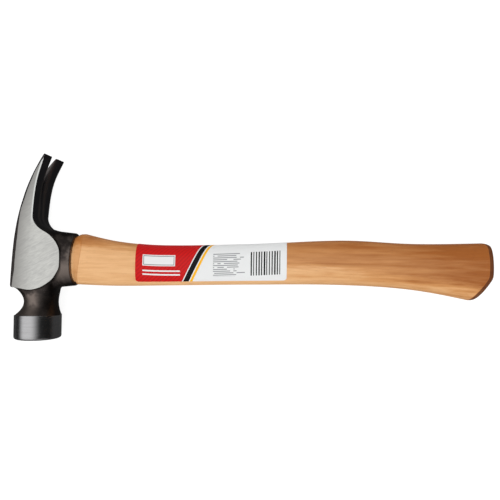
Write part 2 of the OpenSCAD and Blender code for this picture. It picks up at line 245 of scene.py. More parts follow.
class Bench:
    """A node tree, and the one way in which nodes are added to it."""

    def __init__(self, tree):
        self.tree = tree
        tree.nodes.clear()

    def node(self, kind, settings=None, sockets=None, output=0):
        """Adds a node: settings first, then sockets by name, identifier or number."""
        made = self.tree.nodes.new(kind)
        for name, value in (settings or {}).items():
            if name == "curve":
                self.bend(made, value)
            else:
                setattr(made, name, value)
        for key, value in (sockets or {}).items():
            found = self.socket(made.inputs, key)
            if isinstance(value, Wire):
                self.tree.links.new(value.socket, found)
            else:
                found.default_value = value
        return Wire(self, self.socket(made.outputs, output)) if len(made.outputs) else made

    def socket(self, sockets, key):
        """One of a node's sockets by its number, identifier or name."""
        if isinstance(key, int):
            return sockets[key]
        return next(s for s in sockets if key in (s.identifier, s.name))

    def bend(self, made, points):
        """Runs a Float Curve node's line through points, which may leave the range 0 to 1."""
        made.mapping.use_clip = False
        line = made.mapping.curves[0].points
        while len(line) < len(points):
            line.new(0.5, 0.5)
        for knot, place in zip(line, points):
            knot.location = place
            knot.handle_type = "AUTO"
        made.mapping.update()

    def math(self, operation, *values):
        """A sum, or another operation, on numbers and wires."""
        return self.node("ShaderNodeMath", {"operation": operation}, dict(enumerate(values)))

    def mix(self, share, a, b):
        """A colour between two colours."""
        return self.node("ShaderNodeMix", {"data_type": "RGBA"},
                         {"Factor_Float": share, "A_Color": a, "B_Color": b}, "Result_Color")

    def ease(self, value, low, high):
        """0 below low and 1 above high, with a soft step between."""
        return self.node("ShaderNodeMapRange", {"interpolation_type": "SMOOTHSTEP"},
                         {"Value": value, "From Min": low, "From Max": high})

    def noise(self, place, scale, detail=3.0, roughness=0.55):
        """Soft noise from 0 to 1 at a place."""
        return self.node("ShaderNodeTexNoise", {},
                         {"Vector": place, "Scale": scale, "Detail": detail, "Roughness": roughness})

    def stretched(self, place, size, turn=0.0):
        """A place turned about z and then scaled, so that noise read there is drawn out along an axis."""
        turned = self.node("ShaderNodeMapping", {}, {"Vector": place, "Rotation": (0.0, 0.0, turn)})
        return self.node("ShaderNodeVectorMath", {"operation": "MULTIPLY"}, {0: turned, 1: size})

    def relief(self, height, strength, depth, inward=False):
        """A normal that a height ruffles, to a depth in millimetres."""
        return self.node("ShaderNodeBump", {"invert": inward},
                         {"Strength": strength, "Distance": depth * MM, "Height": height})


def paint(red, green, blue):
    """A colour picked in a picture, 0 to 255, as the linear colour that shaders use."""
    def linear(v):
        v /= 255.0
        return v / 12.92 if v <= 0.04045 else ((v + 0.055) / 1.055) ** 2.4
    return (linear(red), linear(green), linear(blue), 1.0)


print("bench ready")

# %% [markdown]
# Every finish starts the same way: a material, its bench, and the place of the shaded point in
# millimetres about the drawing's origin. Reading Object coordinates keeps each pattern solid, like
# the grain of real wood, so it runs through edges and shows its end where the wood is cut.

# %% Start a finish
def new_finish(name):
    """A material, its bench and the shaded point's place in the drawing, in millimetres."""
    material = bpy.data.materials.new(name)
    material.use_nodes = True
    bench = Bench(material.node_tree)
    place = bench.node("ShaderNodeTexCoord", {}, {}, "Object")
    drawn = bench.node("ShaderNodeMapping", {}, {
        "Vector": place, "Location": tuple(-c / MM for c in origin), "Scale": (1 / MM,) * 3})
    return material, bench, drawn


def close_finish(bench, sockets):
    """Ends a finish in one Principled shader."""
    shader = bench.node("ShaderNodeBsdfPrincipled", {}, sockets)
    bench.node("ShaderNodeOutputMaterial", {}, {"Surface": shader})


def split(bench, vector):
    """The three parts of a vector."""
    parts = bench.node("ShaderNodeSeparateXYZ", {}, {"Vector": vector})
    return parts, parts.output("Y"), parts.output("Z")


table_glow = 0.92
floor_paint, bench, drawn = new_finish("pale_floor")
mottle = bench.noise(drawn, 0.004)
close_finish(bench, {
    "Base Color": bench.mix(mottle, paint(112, 112, 112), paint(118, 118, 118)),
    "Roughness": 0.85,
    "Emission Color": (1.0, 1.0, 1.0, 1.0),
    "Emission Strength": table_glow,
})
for sheet in (floor, backdrop):
    sheet.data.materials.append(floor_paint)
print("the table glows by", table_glow)

# %% [markdown]
# The sky is the bright panel. Its light depends on how far a direction leans to the left or right of
# the zenith, and it fades towards the far side, so that the top of every round steel form has a
# bright left flank and a black right one, as the poll in the photograph has. A fainter band of light
# stands low in front and behind. From above the steel hardly meets it, but from the side the cheeks
# mirror it and still read as steel.

# %% Hang the bright panel in the sky
panel_glow, band_glow, room_glow, low_glow = 1.0, 0.35, 0.014, 0.07
panel_left, panel_left_full = (math.radians(a) for a in (-77.0, -46.0))
panel_right_full, panel_right = (math.radians(a) for a in (-12.0, 36.0))
far_fade, near_fade = 0.9, 0.45
far_span, near_span, low_span = (0.12, 0.6), (0.2, 0.6), (-0.1, 0.3)
band_rise, band_fall, band_aside = (0.0, 0.12), (0.6, 0.85), (0.7, 0.88)
no_division_by_zero = 0.0001

world = bpy.data.worlds.new("studio")
world.use_nodes = True
bpy.context.scene.world = world
bench = Bench(world.node_tree)
across, away, above = split(bench, bench.node("ShaderNodeTexCoord", {}, {}, "Generated"))
lean_to = bench.math("ARCTAN2", across, above)
panel = bench.ease(lean_to, panel_left, panel_left_full)
panel = panel * (1.0 - bench.ease(lean_to, panel_right_full, panel_right))
panel = panel * (1.0 - far_fade * bench.ease(away, *far_span))
panel = panel * (1.0 - near_fade * bench.ease(-away, *near_span))
sideways = abs(across) / (across ** 2.0 + away ** 2.0 + no_division_by_zero) ** 0.5
band = bench.ease(above, *band_rise) * (1.0 - bench.ease(above, *band_fall))
band = band * (1.0 - bench.ease(sideways, *band_aside))
lit = bench.math("MAXIMUM", panel * panel_glow, band * band_glow)
glow = room_glow + lit + (low_glow - room_glow) * bench.ease(-above, *low_span)
sky = bench.node("ShaderNodeBackground", {}, {"Color": (1.0, 1.0, 1.0, 1.0), "Strength": glow})
bench.node("ShaderNodeOutputWorld", {}, {"Surface": sky})
print("sky made with", len(world.node_tree.nodes), "nodes")

# %% [markdown]
# The forging keeps the scale of the forge under a thin black lacquer. It mirrors softly, so it is
# made as a dark metal: blue-black on the claws, brown-black on the socket, and lighter in random
# patches where the scale is thin. On the neck a painted highlight lightens it from a little below the
# cheek's rim, so the strip just under the rim stays dark as painted shade, and the neck's right side
# is darker as painted shade. A lighter grey on the socket's lower flank is a painted highlight. It is
# rubbed grey along the nail slot. Fine pebbles come from the die's face. Every zone is a soft step
# between two places in the drawing.

# %% Mix the black forged finish
scale_brown, patch_and_highlight_brown, painted_shade_brown = paint(66, 60, 58), paint(140, 128, 121), paint(52, 49, 48)
scale_blue, socket_highlight_grey = paint(78, 78, 84), paint(150, 137, 129)
slot_grey, pebble_grey = paint(150, 141, 136), paint(128, 118, 112)
neck_highlight_span, claws_span = (27.0, 31.5), (18.0, 34.0)
shade_across, shade_down = (2.0, 9.0), (18.0, 28.0)
socket_highlight_top, socket_highlight_low, socket_highlight_across = (-2.0, 7.0), (11.0, 20.0), (14.0, 22.0)
slot_near, slot_far, slot_up = (0.5, 3.5), (3.5, 7.0), (22.0, 40.0)

forged_black, bench, drawn = new_finish("forged_black")
x, y, z = split(bench, drawn)
patches = bench.noise(drawn, 0.11, 3.0)
pebbles = bench.noise(drawn, 1.1, 4.0, 0.6)
ragged = patches - 0.5
# painted highlight: below the cheek's rim the neck is painted lighter, and the strip just under the rim stays
# dark as painted shade
neck_painted_highlight = bench.ease(-y + ragged * 8.0, *neck_highlight_span)
# painted shade: the neck's right side is painted darker and loses its lighter patches
shaded = bench.ease(x + ragged * 10.0, *shade_across) * bench.ease(-y, *shade_down)
# random patches of thin scale, plus the neck's painted highlight
patches_and_neck_highlight = bench.ease(patches + neck_painted_highlight * 0.3, 0.42, 0.8) * (1.0 - shaded * 0.8)
black = bench.mix(patches_and_neck_highlight, scale_brown, patch_and_highlight_brown)
black = bench.mix(shaded * 0.5, black, painted_shade_brown)
black = bench.mix(bench.ease(y, *claws_span) * 0.8, black, scale_blue)
# painted highlight: a lighter grey on the socket's lower flank, beside the cheek's rim
painted_socket_highlight = bench.ease(-y, *socket_highlight_top) * (1.0 - bench.ease(-y + ragged * 6.0, *socket_highlight_low))
painted_socket_highlight = painted_socket_highlight * bench.ease(x, *socket_highlight_across)
black = bench.mix(painted_socket_highlight * 0.7, black, socket_highlight_grey)
by_slot = bench.ease(abs(z), *slot_near) * (1.0 - bench.ease(abs(z), *slot_far)) * bench.ease(y, *slot_up)
black = bench.mix(by_slot * 0.6, black, slot_grey)
close_finish(bench, {
    "Base Color": bench.mix(bench.ease(pebbles, 0.5, 0.75) * 0.25, black, pebble_grey),
    "Roughness": 0.36 + patches * 0.14,
    "Metallic": 1.0,
    "Normal": bench.relief(pebbles, 0.25, 0.2),
})
print("forged finish made")

# %% [markdown]
# The cheeks and the claws' sides are ground on a belt. It leaves fine slanted scratches, so the steel
# mirrors in soft streaks along them. Noise that is drawn out along one slanted axis gives the
# scratches, once fine and once broad. The poll is turned on a lathe and polished, so its scratches run
# round it, and it mirrors more sharply. One function makes both.

# %% Make a finish of bare steel
def bare_steel(name, turn, fine, broad, light, dark, gloss):
    """Bare steel with scratches along one axis: its material, bench, place and shader sockets."""
    material, bench, drawn = new_finish(name)
    scratches = bench.noise(bench.stretched(drawn, fine, turn), 1.0, 2.0)
    streaks = bench.noise(bench.stretched(drawn, broad, turn), 1.0, 3.0)
    clouds = bench.noise(drawn, 0.06, 2.0)
    worn = scratches * 0.5 + streaks * 0.25 + clouds * 0.25
    sockets = {
        "Base Color": bench.mix(bench.ease(worn, 0.3, 0.7), dark, light),
        "Roughness": gloss + scratches * 0.1 + clouds * 0.06,
        "Metallic": 1.0,
        "Normal": bench.relief(scratches, 0.1, 0.03),
    }
    return material, bench, drawn, sockets


turned_steel, bench, drawn, sockets = bare_steel(
    "turned_steel", 0.0, (0.04, 4.0, 0.04), (0.02, 0.8, 0.02),
    paint(196, 196, 197), paint(176, 175, 176), 0.16)
close_finish(bench, sockets)
print("turned steel made")

# %% [markdown]
# Towards the crown the ground steel turns darker, and a narrow edge stays black. Along the claws'
# inner rim a bright line is a painted highlight. How far a point lies from the crown and from the
# inner side is measured on the mesh later, and handed to the finish as two attributes.

# %% Mix the ground steel
grind_turn = math.radians(-28.0)
darkening_from, darkening_to = -4.0, 22.0
edge_w, edge_low_w, edge_claw_w = 3.6, 2.6, 2.0
edge_low_span, edge_claw_span, edge_soft = (8.0, 22.0), (15.0, 60.0), 0.15
rim_span, rim_up = (0.6, 1.7), (26.0, 40.0)

ground_steel, bench, drawn, sockets = bare_steel(
    "ground_steel", grind_turn, (0.2, 0.9, 0.5), (0.03, 0.35, 0.2),
    paint(222, 222, 217), paint(190, 190, 187), 0.26)
_, y, _ = split(bench, drawn)
depth = bench.node("ShaderNodeAttribute", {"attribute_name": "from_crown"}, {}, "Fac")
depth = depth + (bench.noise(drawn, 0.3, 2.0) - 0.5) * 0.5
inside = bench.node("ShaderNodeAttribute", {"attribute_name": "from_inner"}, {}, "Fac")
# the ground steel turns darker towards the crown
crown_darkening = 1.0 - bench.ease(depth, darkening_from, darkening_to)
bright = bench.mix(crown_darkening, sockets["Base Color"], paint(145, 143, 140))
# painted highlight: a bright line along the claws' inner rim
painted_rim_highlight = (1.0 - bench.ease(inside, *rim_span)) * bench.ease(y, *rim_up)
bright = bench.mix(painted_rim_highlight * 0.9, bright, paint(236, 238, 235))
edge = edge_w + (edge_low_w - edge_w) * bench.ease(-y, *edge_low_span)
edge = edge + (edge_claw_w - edge_w) * bench.ease(y, *edge_claw_span)
sockets["Base Color"] = bench.mix(bench.ease(depth - edge, -edge_soft, edge_soft), paint(58, 54, 53), bright)
close_finish(bench, sockets)
print("ground steel made")

# %% [markdown]
# Hickory is pale and straight-grained, and its lacquer turns it orange. Growth rings are circles
# round the pith of the tree, which lay to one side of this blank, so a distance from that line gives
# straight streaks along the handle and arcs on its cut ends from one rule. The outer years of the tree
# are pale sapwood and the inner ones darker heartwood, and their border runs slantwise down the handle.
# Everything soft only moves one value, the warmth: the border, the way along the handle, the rings,
# long streaks and short flecks. The warmth then leads from pale over amber to a warm brown. Fine fibres
# and short dark pores lie on top, and cut ends are darker.

# %% Mix the hickory
border_slope, border_soft = 0.08, 6.0
ring_wander, border_wander = 22.0, 10.0
handle_run = 360.0
sap_from, sap_to, sap_most = 0.4, 0.95, 0.3
heart_rise, heart_most = 1.8, 0.95
back_low, back_high, back_most = -4.0, 16.0, 0.62
amber_at = 0.4


def hickory_finish(name, pith, ring_gap, colours, heart_at):
    """Lacquered hickory; colours are pale, amber, warm, cut and pore; the heartwood lies above a border."""
    material, bench, drawn = new_finish(name)
    pale, amber, warm, cut, pore = colours
    x, y, z = split(bench, drawn)

    def grain(size, detail):
        """Noise drawn out along the wood's grain."""
        return bench.noise(bench.stretched(drawn, size), 1.0, detail)

    wander = grain((0.004, 0.014, 0.014), 2.0) - 0.5
    aside = y - pith[0] + wander * ring_wander
    above = z - pith[1]
    age = (aside ** 2.0 + above ** 2.0) ** 0.5 / ring_gap
    season = bench.math("FRACT", age)
    year = bench.node("ShaderNodeTexWhiteNoise", {"noise_dimensions": "1D"}, {"W": bench.math("FLOOR", age)})
    late = bench.ease(season, 0.15, 0.8) * (1.0 - bench.ease(season, 0.84, 1.0)) * year
    streaks = grain((0.009, 0.17, 0.17), 2.0) - 0.5
    flecks = grain((0.04, 0.4, 0.4), 4.0) - 0.5
    fibre = grain((0.06, 2.0, 2.0), 3.0)
    pores = bench.ease(grain((0.2, 3.6, 3.6), 1.0), 0.69, 0.79)
    ends = bench.node("ShaderNodeAttribute", {"attribute_name": "end_grain"}, {}, "Fac")

    border = y + x * border_slope - heart_at + wander * border_wander + flecks * border_wander
    heart = bench.ease(border, -border_soft, border_soft)
    onward = bench.math("MAXIMUM", x / handle_run, 0.0)
    sap_warmth = bench.ease(onward, sap_from, sap_to) * sap_most
    back_warmth = bench.ease(y, back_low, back_high) * back_most * (1.1 - onward)
    heart_warmth = onward ** heart_rise * heart_most + back_warmth
    warmth = sap_warmth + heart * (heart_warmth - sap_warmth)
    warmth = warmth + streaks * 0.7 + flecks * 0.5 + late * 0.12

    body = bench.mix(warmth / amber_at, pale, amber)
    body = bench.mix((warmth - amber_at) / (1.0 - amber_at), body, warm)
    for share, colour in (
        (bench.ease(fibre, 0.42, 0.8) * 0.25, cut),
        (pores * 0.4, pore),
        (bench.ease(ends, 0.0, 0.4) * 0.45, cut),
        (bench.ease(ends, 0.3, 0.9) * 0.85, pore),
        (bench.ease(ends, 0.3, 0.6) * late * 0.5, pore),
    ):
        body = bench.mix(share, body, colour)
    close_finish(bench, {
        "Base Color": body,
        "Roughness": 0.45 + fibre * 0.14 + ends * 0.15,
        "Normal": bench.relief(pores + fibre * 0.3, 0.2, 0.1, inward=True),
        "Specular IOR Level": 0.3,
        "Coat Weight": 0.08,
        "Coat Roughness": 0.25,
    })
    return material


handle_colours = [paint(228, 179, 127), paint(203, 144, 87), paint(154, 86, 28), paint(188, 114, 50),
                  paint(84, 42, 20)]
wedge_colours = [paint(210, 166, 112), paint(186, 138, 86), paint(150, 98, 54), paint(180, 124, 74),
                 paint(92, 56, 32)]
all_sapwood = 600.0
hickory = hickory_finish("lacquered_hickory", (-58.0, -38.0), 4.4, handle_colours, 13.6)
wedge_wood = hickory_finish("wedge_wood", (40.0, 25.0), 1.6, wedge_colours, all_sapwood)
print("hickory finishes made")

# %% [markdown]
# The steel wedges are sheared from bar and left as rolled: dull grey with a blue cast, rubbed bright
# where the hammer drove them.

# %% Mix the wedges' steel
wedge_steel, bench, drawn = new_finish("wedge_steel")
rolled = bench.noise(bench.stretched(drawn, (0.4, 1.5, 1.5)), 1.0, 4.0)
dents = bench.noise(drawn, 0.8, 3.0)
close_finish(bench, {
    "Base Color": bench.mix(bench.ease(rolled, 0.35, 0.7), paint(96, 98, 102), paint(158, 158, 156)),
    "Roughness": 0.38 + dents * 0.25,
    "Metallic": 1.0,
    "Normal": bench.relief(dents, 0.3, 0.2),
})
print("wedge finish made")

# %% [markdown]
# Now the head. A forging is one lump whose parts melt into each other, and that is hard to draw as
# faces. A field of distances is easier: each part says how far every point is from its own skin,
# negative inside, and two parts join with a fillet by one small formula. The mesh is then the skin
# where the joined field is zero.

# %% Write down the forging's sizes
bell_h = 20.0
bell_step = 0.3
face_bevel = 1.8
neck_w, neck_t = 27.6, 25.8
neck_drop, neck_shift = 36.0, 2.7
cheek_half = 14.0
cheek_r, cheek_swell = 26.0, 1.0
cheek_middle = (-2.3, 0.5)
cheek_long, cheek_slant = 0.5, math.radians(26.0)
crown_back, crown_low = 17.2, 23.6
crown_skin = 0.66
crown_lean, tenon_slant = math.radians(2.6), math.radians(3.5)
socket_reach, socket_h, socket_t = 33.4, 44.0, 26.6
socket_draft = math.radians(6.0)
claw_reach, claw_sweep = 86.3, 12.1
claw_root_t, claw_tip_t, claw_tip_half = 13.4, 1.2, 19.0
claw_taper, taper_from = 0.022, 15.0
claw_fillet = 11.8
bell_top = face_drop - bell_h
flare_start = claw_reach / 2


def lean(angle):
    """Direction in the plan at an angle from the head's axis towards the handle."""
    return np.array([math.sin(angle), math.cos(angle)])


def bezier(p, u):
    """Points of a cubic curve at shares u of its run."""
    u = np.asarray(u, float)[..., None]
    return (1 - u) ** 3 * p[0] + 3 * (1 - u) ** 2 * u * p[1] + 3 * (1 - u) * u ** 2 * p[2] + u ** 3 * p[3]


def claw_half(y):
    """Half width across the ground cheeks and claws, which flare towards their tips."""
    y = np.asarray(y, float)
    rise = np.maximum(0.0, y - flare_start) / (claw_reach - flare_start)
    tip_flare = claw_tip_half - cheek_half - claw_taper * (claw_reach - taper_from)
    return cheek_half + claw_taper * np.maximum(0.0, y - taper_from) + tip_flare * rise ** 3


def socket_half(x):
    """Half height of the socket's outside."""
    return socket_h / 2 + (socket_reach - x) * math.tan(socket_draft)


print("claws are", round(2 * float(claw_half(claw_reach)), 1), "mm wide at their tips")

# %% [markdown]
# Two curves draw the head from the side: the crown, which runs up the back to the claws' tips, and
# the inner side of the claws. Each is one cubic curve with a lean at either end, and both lead on
# straight past the tips, so that the sharp edge can be cut off cleanly later.

# %% Draw the crown and the claws' inner side
curve_shares = np.linspace(0.0, 1.0, 49)
tip_lean, root_lean, inner_lean = (math.radians(a) for a in (42.0, 3.5, 20.0))
crown_pull, tip_pull, root_pull, inner_pull = 0.48, 0.33, 0.64, 0.31
root_share = 0.48
lead = 60.0

crown_corner = np.array([-crown_back - crown_skin - crown_low * math.tan(crown_lean), -crown_low])
tip_back = np.array([claw_sweep - claw_tip_t, claw_reach])
tip_front = np.array([claw_sweep, claw_reach])
crown_rise = claw_reach + crown_low
crown_curve = [
    crown_corner,
    crown_corner + crown_pull * crown_rise * lean(crown_lean),
    tip_back - tip_pull * crown_rise * lean(tip_lean),
    tip_back,
]
root_x = bezier(crown_curve, root_share)[0] + claw_root_t
root_front = np.array([root_x, socket_half(root_x + claw_fillet) + claw_fillet])
inner_rise = claw_reach - root_front[1]
inner_curve = [
    root_front,
    root_front + root_pull * inner_rise * lean(root_lean),
    tip_front - inner_pull * inner_rise * lean(inner_lean),
    tip_front,
]


def led_on(curve, first_lean, last_lean):
    """A curve's points with a straight lead before and after it."""
    points = bezier(curve, curve_shares)
    return np.vstack([points[0] - lead * lean(first_lean), points, points[-1] + lead * lean(last_lean)])


crown_path = led_on(crown_curve, crown_lean, tip_lean)
inner_path = led_on(inner_curve, root_lean, inner_lean)
print("claw root at", np.round(root_front, 1), "mm")

# %% [markdown]
# These few helpers are all that the field needs: the distance to a path, a squarish section's
# distance, a filleted union and a rounded cut.

# %% Make the field's helpers
off_zero = 1e-6


def beside(path, x, y):
    """Distance from a path in the plan: positive on its left, negative on its right."""
    nearest = np.full(np.broadcast(x, y).shape, np.inf)
    side = np.ones_like(nearest)
    for (ax, ay), (bx, by) in zip(path[:-1], path[1:]):
        dx, dy = bx - ax, by - ay
        share = np.clip(((x - ax) * dx + (y - ay) * dy) / (dx * dx + dy * dy), 0.0, 1.0)
        ex, ey = x - ax - share * dx, y - ay - share * dy
        distance = np.hypot(ex, ey)
        closer = distance < nearest
        side = np.where(closer, np.sign(dx * ey - dy * ex), side)
        nearest = np.where(closer, distance, nearest)
    return nearest * side


def squarish_field(a, b, half_a, half_b, power):
    """Distance from a rounded, squarish section with these half sizes."""
    ra, rb = np.abs(a) / half_a + off_zero, np.abs(b) / half_b + off_zero
    size = (ra ** power + rb ** power) ** (1 / power)
    slope = np.hypot((ra / size) ** (power - 1) / half_a, (rb / size) ** (power - 1) / half_b)
    return (size - 1) / slope


def filleted(a, b, r):
    """Two fields joined, with a fillet of radius r between them."""
    return np.maximum(r, np.minimum(a, b)) - np.hypot(np.maximum(r - a, 0), np.maximum(r - b, 0))


def rounded(a, b, r):
    """What two fields share, with the edge between them rounded to radius r."""
    return np.minimum(-r, np.maximum(a, b)) + np.hypot(np.maximum(r + a, 0), np.maximum(r + b, 0))


def eased(v, low, high):
    """0 below low and 1 above high, with a soft step between."""
    u = np.clip((v - low) / (high - low), 0.0, 1.0)
    return u * u * (3 - 2 * u)


print("field helpers ready")

# %% [markdown]
# The field is sampled on a grid of cells under half a millimetre. The claws, crown and round cheeks
# come first. They are left a little too thick, because the grinder takes them down to size later,
# just as on the real forging, and that makes the cheeks' outline crisp. The round cheek is flat
# towards the socket and a little wavy below, where the belt wanders, and the crown's edges are
# rounded most halfway up the claws.

# %% Fill the field with the cheeks, crown and claws
cell = 0.45
raw_extra = 0.35
inner_round, corner_round = 0.4, 3.5
crown_rounds = ((15.0, 32.0, 50.0, 66.0, 76.0, 86.3), (3.4, 4.6, 6.0, 5.4, 4.2, 2.2))
cheek_flat, flat_soft = 22.95, 0.6
rim_fillet, root_fillet = 1.0, 9.5
root_span, corner_span, wave_span = (2.0, 16.0), (-16.0, -6.0), (-6.0, 6.0)
rim_wave, waves, wave_turn = 0.1, 8, 0.6
small_wave_share, small_waves = 0.6, 15
field_low, field_high = (-23.0, -51.0, -21.0), (36.0, 89.0, 21.0)
x, y, z = np.meshgrid(*(np.arange(a, b, cell) for a, b in zip(field_low, field_high)),
                      indexing="ij", sparse=True)

crown_side = beside(crown_path, x, y)
inner_side = -beside(inner_path, x, y)
below_crown = -crown_low - y
reach_out = np.hypot(x - cheek_middle[0], y - cheek_middle[1])
bearing = np.arctan2(y - cheek_middle[1], x - cheek_middle[0])
wavy = np.sin(waves * bearing + wave_turn) + small_wave_share * np.sin(small_waves * bearing)
wavy = rim_wave * wavy * eased(-y, *wave_span)
rim = reach_out - cheek_r - cheek_long * np.cos(2 * bearing - cheek_slant) - wavy
flat = x - cheek_flat
rim = np.maximum(rim, flat) + np.maximum(flat_soft - np.abs(rim - flat), 0.0) ** 2 / (4 * flat_soft)
rim = rim - cheek_swell * (1 - np.clip(np.abs(z) / cheek_half, 0, 1) ** 2)
raw_side = np.abs(z) - (claw_half(y) + raw_extra)

rim_blend = rim_fillet + root_fillet * eased(y, *root_span)
outline = filleted(np.maximum(inner_side, below_crown), rim, rim_blend)
outline = rounded(outline, crown_side, corner_round * (1 - eased(y, *corner_span)))
crown_edge = rounded(crown_side, raw_side, np.interp(y, *crown_rounds))
forging = np.maximum(rounded(outline, raw_side, inner_round), crown_edge)
print("field of", forging.shape, "cells")

# %% [markdown]
# The socket is a squarish tube that tapers towards its mouth. The mouth is scooped a little, and set
# back on the claws' side. A filleted union melts the tube into the lump.

# %% Join the socket
socket_power, socket_round, socket_inner = 2.3, 0.9, -4.0
socket_fillet, root_blend, blend_span = 2.0, 2.5, (12.0, 22.0)
mouth_scoop, scoop_at = 1.6, -5.5
mouth_set_back, set_back_span = 0.9, (15.0, 22.0)

socket = squarish_field(y, z, socket_half(x), socket_t / 2 + 0 * x, socket_power)
mouth = socket_reach - mouth_scoop * np.clip(1 - (2 * (y - scoop_at) / socket_h) ** 2, 0, 1)
mouth = mouth - mouth_set_back * eased(y, *set_back_span)
socket = np.maximum(rounded(socket, x - mouth, socket_round), socket_inner - x)
forging = filleted(forging, socket, socket_fillet + root_blend * eased(y, *blend_span))
print("socket joined")

# %% [markdown]
# The neck is drawn in between the lump and the bell, so its half sizes follow a square law to either
# side of its waist: it grows to the lump's own size above and to a round as wide as the bell below.
# A shallow valley follows the cheeks' outline, where the die's parting leaves the black skin a little
# lower than the ground land.

# %% Join the neck and press the valley
neck_power, neck_top_power, bell_power = 2.1, 6.0, 2.0
neck_start, neck_inset, neck_full, neck_back_most = 20.6, 0.7, 0.8, 17.7
neck_front_share = 0.63
neck_top, neck_sunk = -14.0, 2.5
crown_fillet, neck_fillet = 1.6, 4.8
front_span, flank_span = (-6.0, 14.0), (6.0, 11.0)
valley_out, valley_up, valley_r, valley_round = 3.3, 3.0, 4.3, 0.4
valley_fade, fade_span = 3.4, (-9.0, 3.0)

drop = -y
upper = drop < neck_drop
run = np.where(upper, neck_start - neck_drop, bell_top - neck_drop)
swing = np.clip((drop - neck_drop) / run, 0.0, 1.0) ** 2
flare = poll_d / 2 - bell_step
neck_back = neck_w / 2 - neck_shift
neck_front = neck_w / 2 + neck_shift
neck_corner = crown_back + neck_start * math.tan(crown_lean) - neck_inset
fuller = swing + np.where(upper, neck_full * swing ** 2, 0.0)
back = np.minimum(neck_back + fuller * (np.where(upper, neck_corner, flare) - neck_back), neck_back_most)
front = neck_front + swing * (np.where(upper, neck_front_share * cheek_r, flare) - neck_front)
deep = neck_t / 2 + swing * (np.where(upper, neck_t / 2, flare) - neck_t / 2)
power = neck_power + swing * (np.where(upper, neck_top_power, bell_power) - neck_power)
neck = squarish_field(x - (front - back) / 2, z, (front + back) / 2, deep, power)
neck = np.maximum(neck, np.maximum(y - neck_top, -bell_top - neck_sunk - y))
blend = eased(x, *front_span) * (1 - eased(np.abs(z), *flank_span))
forging = filleted(forging, neck, crown_fillet + (neck_fillet - crown_fillet) * blend)

valley = np.hypot(outline - valley_out, np.abs(z) - claw_half(y) - valley_up) - valley_r
valley = valley + valley_fade * eased(-y, *fade_span)
forging = rounded(forging, -valley, valley_round)
print("neck joined, at least", round(float((back + front).min()), 1), "mm wide")

# %% [markdown]
# The nail slot is a V between the claws, with its edges sloped on the inner side so that it bites
# under a nail's head. Below the slot a shallow groove runs on down the inner side.

# %% Cut the nail slot and its groove
slot_w, slot_l, slot_bow = 6.9, 30.0, 1.7
slot_round = 0.35
bite_deep, bite_slope = 2.0, 0.28
groove_half, groove_deep = 5.2, 1.2
groove_low, groove_run = 38.0, 18.0

slot_half = slot_w / 2 * (1 - np.clip((claw_reach - y) / slot_l, 0, 1) ** slot_bow)
bite = bite_slope * np.maximum(0.0, bite_deep + inner_side)
slot = np.maximum(np.abs(z) - slot_half - bite, claw_reach - slot_l - y)
forging = rounded(forging, -slot, slot_round)
groove_in = groove_deep * eased(y, groove_low, groove_low + groove_run)
trough = inner_side + groove_in * np.clip(1.0 - (z / groove_half) ** 2, 0.0, 1.0)
forging = np.maximum(forging, np.where(y > groove_low, trough, forging))
print("slot cut, lowest value", round(float(forging.min()), 2), "mm")

# %% [markdown]
# OpenVDB, the library behind Blender's volumes, turns the zero skin of the grid into a mesh of
# quads. The mesh then becomes an ordinary object, in metres and in its place.

# %% Turn the field into a mesh
def new_piece(name, points, faces, material):
    """A mesh object from points of the drawing, in millimetres."""
    mesh = bpy.data.meshes.new(name)
    mesh.from_pydata(placed(points).tolist(), [], [tuple(f) for f in faces])
    mesh.materials.append(material)
    face_outwards(mesh)
    return put_in_scene(name, mesh)


def face_outwards(mesh):
    """Turns every face of a closed mesh to point out."""
    work = bmesh.new()
    work.from_mesh(mesh)
    bmesh.ops.recalc_face_normals(work, faces=work.faces)
    work.to_mesh(mesh)
    work.free()


far_outside = 10.0
grid = openvdb.FloatGrid(far_outside)
grid.copyFromArray(forging.astype(np.float32))
skin_points, skin_quads = grid.convertToQuads(isovalue=0.0)
head = new_piece("forged_head", skin_points * cell + np.array(field_low), skin_quads, forged_black)
print("forging skin:", len(head.data.polygons), "quads")

# %% [markdown]
# Grinding, turning and broaching are cuts and unions with plain tools. Blender's Manifold solver
# makes them exact and fast, and lets each cut face take the tool's own finish: what the grinder
# touches turns to ground steel by itself.

# %% Make a way to use tools
def skinned(name, rings, material):
    """A closed skin through rings of points, with flat ends."""
    n = len(rings[0])
    faces = [(i * n + j, i * n + (j + 1) % n, (i + 1) * n + (j + 1) % n, (i + 1) * n + j)
             for i in range(len(rings) - 1) for j in range(n)]
    ends = [tuple(range(n)), tuple(range((len(rings) - 1) * n, len(rings) * n))]
    return new_piece(name, np.vstack(rings), faces + ends, material)


def plain(piece):
    """Makes the result of a piece's modifiers its own mesh."""
    shaped = piece.evaluated_get(bpy.context.evaluated_depsgraph_get())
    mesh = bpy.data.meshes.new_from_object(shaped)
    piece.modifiers.clear()
    old, piece.data = piece.data, mesh
    bpy.data.meshes.remove(old)
    mesh.name = piece.name


def work_on(piece, tool, operation):
    """Cuts a tool out of a piece or joins it on; the tool is used up."""
    cut = piece.modifiers.new(operation.lower(), "BOOLEAN")
    cut.operation = operation
    cut.solver = "MANIFOLD"
    cut.material_mode = "TRANSFER"
    cut.object = tool
    plain(piece)
    bpy.data.objects.remove(tool)


print("tools ready")

# %% [markdown]
# The belt is a block whose working side follows the claws' flare and rolls off towards the crown, as a
# slack belt does. It comes down on both sides of the head.

# %% Grind the cheeks
grind_low, grind_high = (-24.0, -27.5), (34.0, claw_reach + 3.0)
grind_top, grind_step = 26.0, 1.0
roll_deep, roll_slope = 12.0, 0.1


def ground_height(x, y):
    """Half width between the ground sides, which roll off towards the crown."""
    depth = np.clip(-beside(crown_path, x, y), 0.0, roll_deep)
    return claw_half(y) - roll_slope / (2 * roll_deep) * (roll_deep - depth) ** 2


